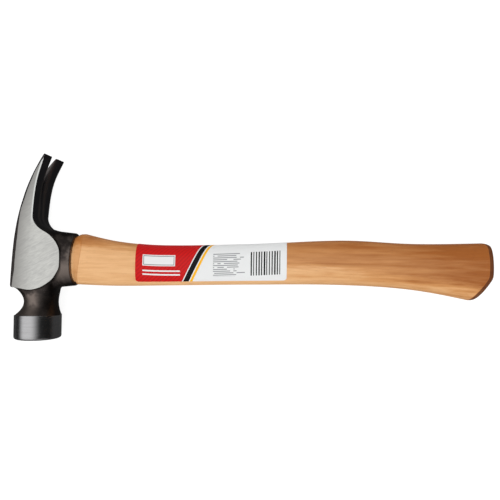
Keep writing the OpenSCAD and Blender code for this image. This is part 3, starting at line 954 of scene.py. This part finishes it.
def belt_tool(side):
    """The space that the belt clears on one side of the head."""
    gx, gy = np.meshgrid(*(np.arange(a, b, grind_step) for a, b in zip(grind_low, grind_high)), indexing="ij")
    across, along = gx.shape
    sheet = np.stack([gx, gy, side * ground_height(gx, gy)], 2).reshape(-1, 3)
    lid = np.stack([gx, gy, np.full(gx.shape, side * grind_top)], 2).reshape(-1, 3)
    number = np.arange(across * along).reshape(across, along)
    quads = np.stack([number[:-1, :-1], number[1:, :-1], number[1:, 1:], number[:-1, 1:]], 2).reshape(-1, 4)
    rim = np.concatenate([number[:-1, 0], number[-1, :-1], number[:0:-1, -1], number[0, :0:-1]])
    walls = np.stack([rim, np.roll(rim, -1), np.roll(rim, -1) + number.size, rim + number.size], 1)
    faces = np.vstack([quads, walls, quads + number.size])
    return new_piece("belt", np.vstack([sheet, lid]), faces, ground_steel)


for side in (1.0, -1.0):
    work_on(head, belt_tool(side), "DIFFERENCE")
print("cheeks ground:", len(head.data.polygons), "faces")

# %% [markdown]
# The tips are dressed to a straight edge by a flat stone. The bell is a stack of rings, as a lathe
# would turn it: a land that rises a little on both flanks, a bevel and a slightly domed face.

# %% Dress the tips and turn the bell
round_sides = 128
turns = np.linspace(0.0, 2 * math.pi, round_sides, endpoint=False)
stone_low, stone_high = (-40.0, claw_reach, -40.0), (60.0, claw_reach + 20.0, 40.0)
face_dome = 0.5
bell_skin = 0.02
land_edge, land_lift, land_w = 0.35, 1.1, 3.0


def box_rings(low, high):
    """Two square rings, the ends of a box."""
    (x0, y0, z0), (x1, y1, z1) = low, high
    return [np.array([(x, y0, z0), (x, y1, z0), (x, y1, z1), (x, y0, z1)]) for x in (x0, x1)]


def bell_ring(r, drop, lift=0.0):
    """A ring of the bell at a drop below the handle's axis."""
    return np.stack([r * np.cos(turns), lift * np.sin(turns) ** 2 - drop, r * np.sin(turns)], 1)


work_on(head, skinned("tip_stone", box_rings(stone_low, stone_high), ground_steel), "DIFFERENCE")
poll_r = poll_d / 2 - bell_skin
face_r = poll_r - face_bevel
bevel_drop = face_drop - face_dome - face_bevel
bell = [bell_ring(poll_r - land_edge, bell_top, land_lift)]
bell += [bell_ring(poll_r, bell_top + land_edge, land_lift)]
bell += [bell_ring(poll_r, drop) for drop in np.linspace(bell_top + land_w, bevel_drop, 5)]
bell += [bell_ring(face_r + face_bevel * math.cos(a), bevel_drop + face_bevel * math.sin(a))
         for a in np.radians([20, 45, 70, 90])]
bell += [bell_ring(face_r * s, face_drop - face_dome * s * s) for s in (0.85, 0.7, 0.55, 0.4, 0.25, 0.1)]
work_on(head, skinned("bell", bell, turned_steel), "UNION")
print("bell turned:", len(head.data.polygons), "faces")

# %% [markdown]
# The eye is broached through the head with an hourglass shape, widest at both mouths, so that the
# wedged wood can't slip out. The head is then whole, and each of its points learns how far it lies
# from the crown and from the claws' inner side, for the ground finish.

# %% Broach the eye and measure the head
eye_power = 2.3
eye_crown, eye_waist, eye_mouth = (36.0, 20.2), (35.0, 18.6), (38.4, 20.4)
eye_waist_x = (socket_reach - crown_back) / 2
eye_chamfer = 0.5
broach_back, broach_front, chamfer_in, chamfer_out = 6.0, 2.0, 0.2, 0.6
sharp_edge = math.radians(32.0)


def squarish(v, power):
    """A sine or cosine, bent so that a circle turns into a squarish oval."""
    return np.sign(v) * np.abs(v) ** (2 / power)


def eye_ring(x, size, grow=0.0):
    """A ring of the eye at a place along the handle."""
    return np.stack([
        np.full(round_sides, x),
        (size[0] / 2 + grow) * squarish(np.sin(turns), eye_power),
        (size[1] / 2 + grow) * squarish(np.cos(turns), eye_power)], 1)


eye_tilt = eye_crown[0] / 2 * math.tan(tenon_slant)
eye = [
    eye_ring(-crown_back - broach_back, eye_crown, eye_chamfer),
    eye_ring(-crown_back + chamfer_in, eye_crown, eye_chamfer),
    eye_ring(-crown_back + eye_tilt + chamfer_out, eye_crown),
    eye_ring(eye_waist_x, eye_waist),
    eye_ring(socket_reach - eye_chamfer, eye_mouth),
    eye_ring(socket_reach + broach_front, eye_mouth, eye_chamfer + broach_front),
]
work_on(head, skinned("broach", eye, forged_black), "DIFFERENCE")
head.data.set_sharp_from_angle(angle=sharp_edge)
spots = (np.array([v.co for v in head.data.vertices]) - np.array(origin)) / MM
for name, path, side in (("from_crown", crown_path, -1.0), ("from_inner", inner_path, 1.0)):
    inwards = head.data.attributes.new(name, "FLOAT", "POINT")
    inwards.data.foreach_set("value", side * beside(path, spots[:, 0], spots[:, 1]))
print("head done:", len(head.data.polygons), "faces,", [m.name for m in head.data.materials])

# %% [markdown]
# The handle follows a rule along its whole length: a squarish section whose height, thickness and
# drop change from the shoulder over the throat and the swell to the flared butt. That suits Geometry
# Nodes. A line of points is the spine, one point for each ring, and the tree wraps a skin of rings
# round it. The changes along the handle are Float Curves through a few stations, and the real sizes
# are the tree's named inputs.

# %% Write down the handle's sizes
shoulder_gap = 6.1
handle_reach = 372.0
shoulder_x = socket_reach + shoulder_gap
handle_sizes = {
    "Shoulder height": 42.5, "Throat height": 33.5, "Swell height": 36.5, "Butt height": 49.8,
    "Shoulder thickness": 24.6, "Throat thickness": 25.0, "Swell thickness": 28.0, "Butt thickness": 31.0,
    "Throat drop": 4.1, "Butt drop": 7.5, "Heel drop": 10.4, "Top round": 3.6,
}
stations = (0.0, 0.09, 0.203, 0.42, 0.65, 0.825, 1.0)
station_shares = {
    "shoulder": (1.0, 0.42, 0.0, 0.0, 0.0, 0.0, 0.0),
    "swell": (0.0, 0.0, 0.0, 0.0, 1.0, 1.0, 1.0),
    "butt": (0.0, 0.0, 0.0, 0.0, 0.0, 0.09, 1.0),
    "girth": (0.0, 0.1, 0.0, 0.45, 1.0, 1.0, 1.0),
    "throat_drop": (-0.06, 0.75, 1.0, 0.56, 0.0, 0.0, 0.0),
    "butt_drop": (0.0, 0.0, 0.0, 0.0, 0.0, 0.37, 1.0),
}
handle_power = 2.7
eye_fit = 0.1
heel_slope = math.tan(math.radians(31.0))
heel_soft = 2.0


def through(places, values, steps):
    """Points of a smooth curve through a few values, as a hand would draw it with a spline."""
    places, values = np.array(places), np.array(values)
    secants = np.diff(values) / np.diff(places)
    slopes = np.empty(len(values))
    slopes[1:-1] = (values[2:] - values[:-2]) / (places[2:] - places[:-2])
    slopes[0] = 1.5 * secants[0] - 0.5 * slopes[1]
    slopes[-1] = 1.5 * secants[-1] - 0.5 * slopes[-2]
    at = np.linspace(0.0, 1.0, steps)
    i = np.clip(np.searchsorted(places, at, "right") - 1, 0, len(secants) - 1)
    step = places[i + 1] - places[i]
    u = (at - places[i]) / step
    curve = ((2 * u ** 3 - 3 * u ** 2 + 1) * values[i] + (u ** 3 - 2 * u ** 2 + u) * step * slopes[i]
             + (3 * u ** 2 - 2 * u ** 3) * values[i + 1] + (u ** 3 - u ** 2) * step * slopes[i + 1])
    return list(zip(at, curve))


print("handle runs", round(handle_reach - shoulder_x, 1), "mm from shoulder to butt")

# %% [markdown]
# The tree reads each ring's place from the spine: how far along it lies, how much of the heel's slant
# it takes (`tilt`), how it leans (`lean`), how far it is drawn in (`inset`, `share`), and how much is
# trimmed off the ends of an open ring (`trim`). From these it works out the section and sets the
# skin's points. The same tree wraps the label later, with fewer degrees round and a little growth.

# %% Build the tree that wraps a skin round the spine
class SkinTree:
    """A Geometry Nodes tree, with its named inputs and a bench to build it on."""

    def __init__(self, name):
        self.group = bpy.data.node_groups.new(name, "GeometryNodeTree")
        self.bench = Bench(self.group)
        self.inputs = {}

    def add_input(self, name, kind, value=None):
        made = self.group.interface.new_socket(name, in_out="INPUT", socket_type=kind)
        if value is not None:
            made.default_value = value
        self.inputs[name] = made.identifier


skin_tree = SkinTree("wood_skin")
skin_tree.add_input("Spine", "NodeSocketGeometry")
for size_name, size in handle_sizes.items():
    skin_tree.add_input(size_name, "NodeSocketFloat", size * MM)
for size_name, size in {"First angle": -90.0, "Last angle": 270.0}.items():
    skin_tree.add_input(size_name, "NodeSocketFloat", math.radians(size))
skin_tree.add_input("Grow", "NodeSocketFloat", 0.0)
skin_tree.add_input("Sides", "NodeSocketInt", 128)
skin_tree.add_input("Material", "NodeSocketMaterial")
skin_tree.group.interface.new_socket("Skin", in_out="OUTPUT", socket_type="NodeSocketGeometry")
print("tree inputs:", len(skin_tree.inputs))

# %% [markdown]
# First the tree counts the rings and the columns of its grid, and looks up each ring's values on the
# spine by number.

# %% Read the spine in the tree
bench = skin_tree.bench
given = bench.node("NodeGroupInput", {}, {}, "Spine")
sides = given.output("Sides")
rings = bench.node("GeometryNodeAttributeDomainSize", {"component": "MESH"}, {"Geometry": given},
                   "Point Count")
sheet = bench.node("GeometryNodeMeshGrid", {}, {"Vertices X": rings, "Vertices Y": sides})
index = bench.node("GeometryNodeInputIndex")
ring_number = bench.math("FLOOR", (index + 0.5) / sides)
column = index - ring_number * sides


def on_spine(value):
    """A value of the spine at this point's ring."""
    return bench.node("GeometryNodeSampleIndex", {"data_type": "FLOAT"},
                      {"Geometry": given, "Value": value, "Index": ring_number})


def spine_value(name):
    """A named value of the spine at this point's ring."""
    return on_spine(bench.node("GeometryNodeInputNamedAttribute", {"data_type": "FLOAT"}, {"Name": name}))


along, tilt, lean_by, inset, share, trim = (
    spine_value(name) for name in ("along", "tilt", "lean", "inset", "share", "trim"))
first, last = given.output("First angle") + trim, given.output("Last angle") - trim
angle = first + (last - first) * column / (sides - 1.0)
print("spine values read")

# %% [markdown]
# Then the section. The heel slants the last rings, so its setback is worked out first, from where the
# point would lie on the butt. The section at that place follows from the Float Curves and, in the
# head, from the eye that the wood has to fit.

# %% Work out the section in the tree
def squarish_wire(value, power):
    """A sine or cosine, bent so that a circle turns into a squarish oval."""
    return bench.math("SIGN", value) * abs(value) ** (2.0 / power)


def size_of(name):
    """One of the tree's named sizes."""
    return given.output(name)


sine, cosine = bench.math("SINE", angle), bench.math("COSINE", angle)
butt_half = size_of("Butt height") / 2.0
butt_y = share * (butt_half - inset) * squarish_wire(sine, handle_power) - size_of("Butt drop")
heel = -butt_y - size_of("Heel drop")
heel = (heel + (heel ** 2.0 + (heel_soft * MM) ** 2) ** 0.5) / 2.0 * heel_slope
top = bench.math("MAXIMUM", butt_y - (butt_half - size_of("Butt drop") - size_of("Top round")), 0.0)
setback = heel + top ** 2.0 / (2.0 * size_of("Top round"))
at = along - tilt * setback

run_share = bench.math("MAXIMUM", (at - shoulder_x * MM) / ((handle_reach - shoulder_x) * MM), 0.0)
curve_steps = 41
curve = {}
for name, shares in station_shares.items():
    line = through(stations, shares, curve_steps)
    curve[name] = bench.node("ShaderNodeFloatCurve", {"curve": line}, {"Value": run_share})


def step_size(small, large):
    """How much one named size is larger than another."""
    return size_of(large) - size_of(small)


def section_size(kind, middle):
    """Height or thickness of the body at this ring."""
    return (size_of("Throat " + kind) + curve["shoulder"] * step_size("Throat " + kind, "Shoulder " + kind)
            + curve[middle] * step_size("Throat " + kind, "Swell " + kind)
            + curve["butt"] * step_size("Swell " + kind, "Butt " + kind))


def eye_size(k):
    """Height or thickness of the eye at this ring, in metres."""
    out = bench.node("ShaderNodeMapRange", {}, {
        "Value": at, "From Min": -crown_back * MM, "From Max": eye_waist_x * MM,
        "To Min": eye_crown[k] * MM, "To Max": eye_waist[k] * MM})
    back = bench.node("ShaderNodeMapRange", {}, {
        "Value": at, "From Min": eye_waist_x * MM, "From Max": socket_reach * MM,
        "To Min": 0.0, "To Max": (eye_mouth[k] - eye_waist[k]) * MM})
    return out + back - 2.0 * eye_fit * MM


crest_share = 0.65
free = bench.node("ShaderNodeMapRange", {}, {
    "Value": at, "From Min": socket_reach * MM, "From Max": shoulder_x * MM})
swept = bench.math("SINE", bench.math("MINIMUM", free / crest_share, 1.0) * (math.pi / 2))
height = eye_size(0) + swept * (section_size("height", "swell") - eye_size(0))
thickness = eye_size(1) + free * (section_size("thickness", "girth") - eye_size(1))
power = eye_power + free * (handle_power - eye_power)
low_by = free * (curve["throat_drop"] * size_of("Throat drop") + curve["butt_drop"] * size_of("Butt drop"))
grow = given.output("Grow") - inset
across = share * (height / 2.0 + grow) * squarish_wire(sine, power) - low_by
up = share * (thickness / 2.0 + grow) * squarish_wire(cosine, power)
print("section worked out with", len(skin_tree.group.nodes), "nodes")

# %% [markdown]
# Last the tree sets every point in its place, welds the seam and the poles, notes how near the point
# is to a cut end, and hands out the skin. The shoulder's crease leans with the wood's height, but only
# up to a line: above it the crease turns straight up to the crest. The tenon's end leans all the way.

# %% Finish the tree
weld = 0.00001
crease_top, tenon_top = 9.0, 40.0
leaned = bench.math("MINIMUM", across, (crease_top + (at < 0.0) * (tenon_top - crease_top)) * MM)
spot = bench.node("ShaderNodeCombineXYZ", {}, {
    "X": at + lean_by * leaned + origin.x, "Y": across + origin.y, "Z": up + origin.z})
skin = bench.node("GeometryNodeSetPosition", {}, {"Geometry": sheet, "Position": spot})
skin = bench.node("GeometryNodeStoreNamedAttribute", {"data_type": "FLOAT", "domain": "POINT"},
                  {"Geometry": skin, "Name": "end_grain", "Value": spine_value("end_grain")})
skin = bench.node("GeometryNodeStoreNamedAttribute", {"data_type": "FLOAT", "domain": "POINT"},
                  {"Geometry": skin, "Name": "angle", "Value": angle})
skin = bench.node("GeometryNodeMergeByDistance", {}, {"Geometry": skin, "Distance": weld})
skin = bench.node("GeometryNodeRealizeInstances", {}, {"Geometry": skin})
skin = bench.node("GeometryNodeSetMaterial", {}, {"Geometry": skin, "Material": given.output("Material")})
bench.node("NodeGroupOutput", {}, {"Skin": skin})


def wrapped(name, spine, settings):
    """A skin round a spine, made plain; a spine is a list of rings with their values."""
    mesh = bpy.data.meshes.new(name)
    mesh.from_pydata([(ring["along"], 0.0, 0.0) for ring in spine], [], [])
    for key in ("along", "tilt", "lean", "inset", "share", "trim", "end_grain"):
        values = mesh.attributes.new(key, "FLOAT", "POINT")
        values.data.foreach_set("value", [ring.get(key, float(key == "share")) for ring in spine])
    piece = put_in_scene(name, mesh)
    nodes = piece.modifiers.new("skin", "NODES")
    nodes.node_group = skin_tree.group
    for key, value in settings.items():
        nodes[skin_tree.inputs[key]] = value
    plain(piece)
    return piece


print("tree finished with", len(skin_tree.group.nodes), "nodes")

# %% [markdown]
# The spine's rings crowd together where the wood turns: at the tenon's end, at the shoulder with its
# slanted crease, and round the butt's edge, which a rasp has rounded. Rings with a share of less than
# one close the two ends.

# %% Wrap the handle
eye_recess = 0.6
crease_lean = 0.155
crease_fade = 26.0
tenon_cut, facet_cut, butt_cut, edge_cut = 0.5, 0.25, 0.65, 5.0
tenon_edge, tenon_straight, crease_w = 0.8, -8.0, 0.5
butt_start = 0.9
butt_round, butt_inset = 4.2, 1.8
ring_step = 3.0
tenon_x = -crown_back + eye_recess
body_l = handle_reach - shoulder_x


def ring_at(along, **values):
    """One ring of the spine; lengths in millimetres."""
    scaled = {key: value * (MM if key == "inset" else 1.0) for key, value in values.items()}
    return {"along": along * MM, **scaled}


tenon_lean = math.tan(tenon_slant)
spine = [ring_at(tenon_x, share=s, lean=tenon_lean, end_grain=tenon_cut) for s in (0.0, 0.3, 0.6, 0.85, 1.0)]
spine += [ring_at(tenon_x + tenon_edge, lean=tenon_lean)]
spine += [ring_at(v) for v in np.linspace(tenon_straight, socket_reach, 12)]
spine += [ring_at(socket_reach + shoulder_gap * s, lean=crease_lean * s, end_grain=facet_cut)
          for s in (0.0, 0.2, 0.4, 0.6, 0.8, 0.96)]
spine += [ring_at(shoulder_x, lean=crease_lean, end_grain=2 * facet_cut)]
spine += [ring_at(shoulder_x + crease_w, lean=crease_lean)]
body = np.arange(shoulder_x + ring_step / 2, shoulder_x + butt_start * body_l, ring_step)
spine += [ring_at(v, lean=crease_lean * max(0.0, 1 - (v - shoulder_x) / crease_fade)) for v in body]
for s in np.linspace(0.0, 1.0, 14)[1:-1]:
    spine.append(ring_at(body[-1] + (handle_reach - butt_round - body[-1]) * s, tilt=s))
for a in np.radians(np.linspace(0.0, 90.0, 8)):
    spine.append(ring_at(handle_reach - butt_round * (1 - math.sin(a)), tilt=1.0,
                         inset=butt_inset * (1 - math.cos(a)), end_grain=min(1.0, edge_cut * math.sin(a))))
spine += [ring_at(handle_reach, tilt=1.0, inset=butt_inset, share=s, end_grain=butt_cut)
          for s in (0.93, 0.84, 0.74, 0.63, 0.51, 0.38, 0.25, 0.12, 0.0)]
handle = wrapped("hickory_handle_piece", spine, {"Sides": 129, "Material": hickory})
face_outwards(handle.data)
print("handle skin:", len(handle.data.polygons), "faces from", len(spine), "rings")

# %% [markdown]
# The wedges are driven into the tenon's end: one of wood along the eye and two of steel across it.
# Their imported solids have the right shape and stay. Copies of them, grown by a hair, cut the slots
# that they fill in the handle.

# %% Cut the wedges' slots
wedge_fit = 0.05
crease_edge = math.radians(14.0)
wedge_nodes = ("wooden_wedge", "claw_side_steel_wedge", "face_side_steel_wedge")


def grown_copy(node, grow):
    """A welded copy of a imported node, grown along its normals by a length in millimetres."""
    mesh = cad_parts[node].data.copy()
    work = bmesh.new()
    work.from_mesh(mesh)
    bmesh.ops.remove_doubles(work, verts=work.verts, dist=weld)
    bmesh.ops.recalc_face_normals(work, faces=work.faces)
    work.normal_update()
    shift = [(v, v.normal * v.calc_shell_factor()) for v in work.verts]
    for v, step in shift:
        v.co += step * grow * MM
    work.to_mesh(mesh)
    work.free()
    mesh.materials.clear()
    mesh.materials.append(hickory)
    return put_in_scene(node + "_slot", mesh)


for node, finish in zip(wedge_nodes, (wedge_wood, wedge_steel, wedge_steel)):
    work_on(handle, grown_copy(node, wedge_fit), "DIFFERENCE")
    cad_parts[node].data.materials.clear()
    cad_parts[node].data.materials.append(finish)
handle.data.set_sharp_from_angle(angle=crease_edge)
print("handle done:", len(handle.data.polygons), "faces")

# %% [markdown]
# The label is a strip of coated paper, glued from the near side over the top to the far side. The
# same tree wraps it a hair above the wood. Its corners are round, so the rings near its ends are
# trimmed. The way round each ring is measured along the strip's own surface.

# %% Wrap the label
label_at, label_l = 86.6, 123.5
label_t, label_fit = 0.2, 0.06
label_first, label_last = -45.0, 225.0
corner_r = 3.0
corner_degrees = 11.0
label_sides = 97

corner_steps = corner_r * (1 - np.cos(np.radians(np.linspace(0, 90, 7))))
label_x = np.concatenate([corner_steps, np.linspace(corner_r, label_l - corner_r, 58)[1:-1],
                          label_l - corner_steps[::-1]])
label_spine = []
for v in label_x:
    short = max(0.0, corner_r - min(v, label_l - v)) / corner_r
    trim = math.radians(corner_degrees) * (1 - math.sqrt(1 - short * short))
    label_spine.append(ring_at(label_at + v, trim=trim))
label = wrapped("paper_label_piece", label_spine, {
    "Sides": label_sides, "First angle": math.radians(label_first), "Last angle": math.radians(label_last),
    "Grow": (label_fit + label_t) * MM, "Material": hickory})
points = np.array([v.co for v in label.data.vertices]).reshape(len(label_x), label_sides, 3)
steps = np.linalg.norm(np.diff(points, axis=1), axis=2)
around = np.concatenate([np.zeros((len(label_x), 1)), np.cumsum(steps, axis=1)], axis=1) / MM
middle_ring = len(label_x) // 2
around += (around[middle_ring, -1] - around[:, -1:]) / 2
label_round = around[middle_ring, -1]
print("label is", round(label_l, 1), "by", round(label_round, 1), "mm")

# %% [markdown]
# Each point of the label now gets its place on the flat paper as a UV map, so that the print lies on
# the paper as it would come from a press. The strip is then given its thickness, inwards from the
# printed side.

# %% Lay the print's map on the label
throat_middle = (150.0, -4.0, 0.0)
paper_edge = math.radians(40.0)
paper = np.stack([np.broadcast_to(label_x[:, None], around.shape) / label_l, around / label_round], axis=2)
paper = paper.reshape(-1, 2)
print_map = label.data.uv_layers.new(name="print")
corners = np.zeros(len(label.data.loops), int)
label.data.loops.foreach_get("vertex_index", corners)
print_map.uv.foreach_set("vector", paper[corners].astype(np.float32).ravel())
middle_face = label.data.polygons[len(label.data.polygons) // 2]
if middle_face.normal.dot(middle_face.center - Vector(placed(throat_middle))) < 0:
    label.data.flip_normals()
thick = label.modifiers.new("paper", "SOLIDIFY")
thick.thickness = label_t * MM
thick.offset = -1.0
plain(label)
label.data.set_sharp_from_angle(angle=paper_edge)


def paper_v(y):
    """Where a height on the near side, in the drawing, lies on the flat paper in millimetres."""
    near = points[middle_ring, :, 2] > origin.z
    heights = (points[middle_ring, near, 1] - origin.y) / MM
    return float(np.interp(y, heights, around[middle_ring, near]))


print("print map laid;", "near top edge at", round(paper_v(10.0), 1), "mm")

# %% [markdown]
# The print is a plain design: a red field with fine hatching and a blank plate, a black and a yellow
# band along its slanted end, then a white panel with grey lines and a row of bars. All of it is masks
# on the flat paper, in millimetres, with edges a tenth of a millimetre soft. A value that is picked by
# chance for each whole number makes the bars and the lines uneven, and is the same each time.

# %% Set out the print
slant = 0.5
lines_from, lines_to, lines_ragged = 64.0, 90.0, 9.0
bars_from, bars_to = 94.0, 119.0
block_low, block_high = paper_v(-12.6), paper_v(6.5)
bar_step, line_step, word_step, hatch_step = 2.1, 1.55, 2.6, 3.4
bar_thin, bar_more = 0.3, 0.4
word_share, row_seed = 0.86, 37.0
hatch_span, line_span, line_soft = (0.62, 0.7), (0.25, 0.7), 0.08

printed, bench, drawn = new_finish("printed_paper")
u_share, v_share, _ = split(bench, bench.node("ShaderNodeUVMap", {"uv_map": "print"}))
u, v = u_share * label_l, v_share * label_round


def within(value, low, high, soft=0.1):
    """1 between two places on the paper and 0 outside."""
    return bench.ease(value, low - soft, low + soft) * (1.0 - bench.ease(value, high - soft, high + soft))


def block(u_low, u_high, v_low, v_high):
    """1 in a rectangle of the paper and 0 outside."""
    return within(u, u_low, u_high) * within(v, v_low, v_high)


def chance(number):
    """A value from 0 to 1 that is different for every whole number."""
    whole = bench.math("FLOOR", number)
    return bench.node("ShaderNodeTexWhiteNoise", {"noise_dimensions": "1D"}, {"W": whole})


along_slant = u - (v - (block_low + block_high) / 2) * slant
hatch = bench.ease(bench.math("FRACT", (u - v) / hatch_step), *hatch_span)
bar_w = bar_thin + chance(u / bar_step) * bar_more
bars = block(bars_from, bars_to, block_low, block_high) * (bench.math("FRACT", u / bar_step) < bar_w)
words = chance(u / word_step + bench.math("FLOOR", v / line_step) * row_seed) < word_share
line_body = within(bench.math("FRACT", v / line_step), *line_span, line_soft) * words
lines = block(lines_from, lines_to, block_low, block_high) * line_body
lines = lines * ((lines_to - chance(v / line_step) * lines_ragged) > u)
print("bars cover", bars_to - bars_from, "mm and lines", lines_to - lines_from, "mm")

# %% [markdown]
# The inks go on one after the other, as in a press: the red field, its two bands, the plate with its
# thin frame, two white rules, then the bars and the lines. The coated paper itself is smooth, with the
# faint unevenness of pulp.

# %% Ink the paper
field_from, field_w, band_gap, black_w, yellow_w = -80.0, 45.0, 0.9, 5.5, 2.2
plate_left, plate_right, plate_low, plate_top = 6.0, 33.0, paper_v(-3.5), paper_v(5.5)
frame_out, frame_in = 0.8, 1.2
rules_at, rule_half, rule_longer = (paper_v(-7.5), paper_v(-10.5)), 0.6, 4.0
paper_white, ink_red, ink_black = paint(224, 225, 225), paint(198, 10, 12), paint(14, 14, 16)
ink_deep, ink_grey, ink_yellow = paint(152, 8, 12), paint(104, 106, 110), paint(240, 176, 28)
hatch_ink, line_ink = 0.5, 0.85
pulp_fine, pulp_detail, pulp_strength, pulp_deep = 1.6, 4.0, 0.06, 0.1
paper_rough, pulp_rough, paper_shine = 0.45, 0.12, 0.2

black_to = field_w + black_w
yellow_from = black_to + band_gap
inks = [
    (within(along_slant, field_from, field_w), bench.mix(hatch * hatch_ink, ink_red, ink_deep)),
    (within(along_slant, field_w + band_gap, black_to), ink_black),
    (within(along_slant, yellow_from, yellow_from + yellow_w), ink_yellow),
]
for inset_by, ink in ((0.0, paper_white), (frame_out, ink_black), (frame_in, paper_white)):
    plate = block(plate_left + inset_by, plate_right - inset_by, plate_low + inset_by, plate_top - inset_by)
    inks.append((plate, ink))
for rule_v in rules_at:
    rule = block(plate_left, plate_right + rule_longer, rule_v - rule_half, rule_v + rule_half)
    inks.append((rule, paper_white))
inks += [(bars, ink_black), (lines * line_ink, ink_grey)]
colour = paper_white
for mask, ink in inks:
    colour = bench.mix(mask, colour, ink)
pulp = bench.noise(drawn, pulp_fine, pulp_detail)
close_finish(bench, {
    "Base Color": colour,
    "Roughness": paper_rough + pulp * pulp_rough,
    "Normal": bench.relief(pulp, pulp_strength, pulp_deep),
    "Specular IOR Level": paper_shine,
})
label.data.materials.clear()
label.data.materials.append(printed)
print("paper printed with", len(inks), "inks")

# %% [markdown]
# Every piece now rides on the hammer's one body and stands for its imported node, which is hidden.

# %% Hand the pieces over
for piece, node, slot in (
    (head, "steel_head", "forged_steel"),
    (handle, "hickory_handle", "hickory"),
    (label, "paper_label", "label_paper"),
):
    for polygon in piece.data.polygons:
        polygon.use_smooth = True
    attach(piece, "root")
    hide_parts(node)
    print(piece.name, "has", sum(len(p.vertices) - 2 for p in piece.data.polygons), "triangles")
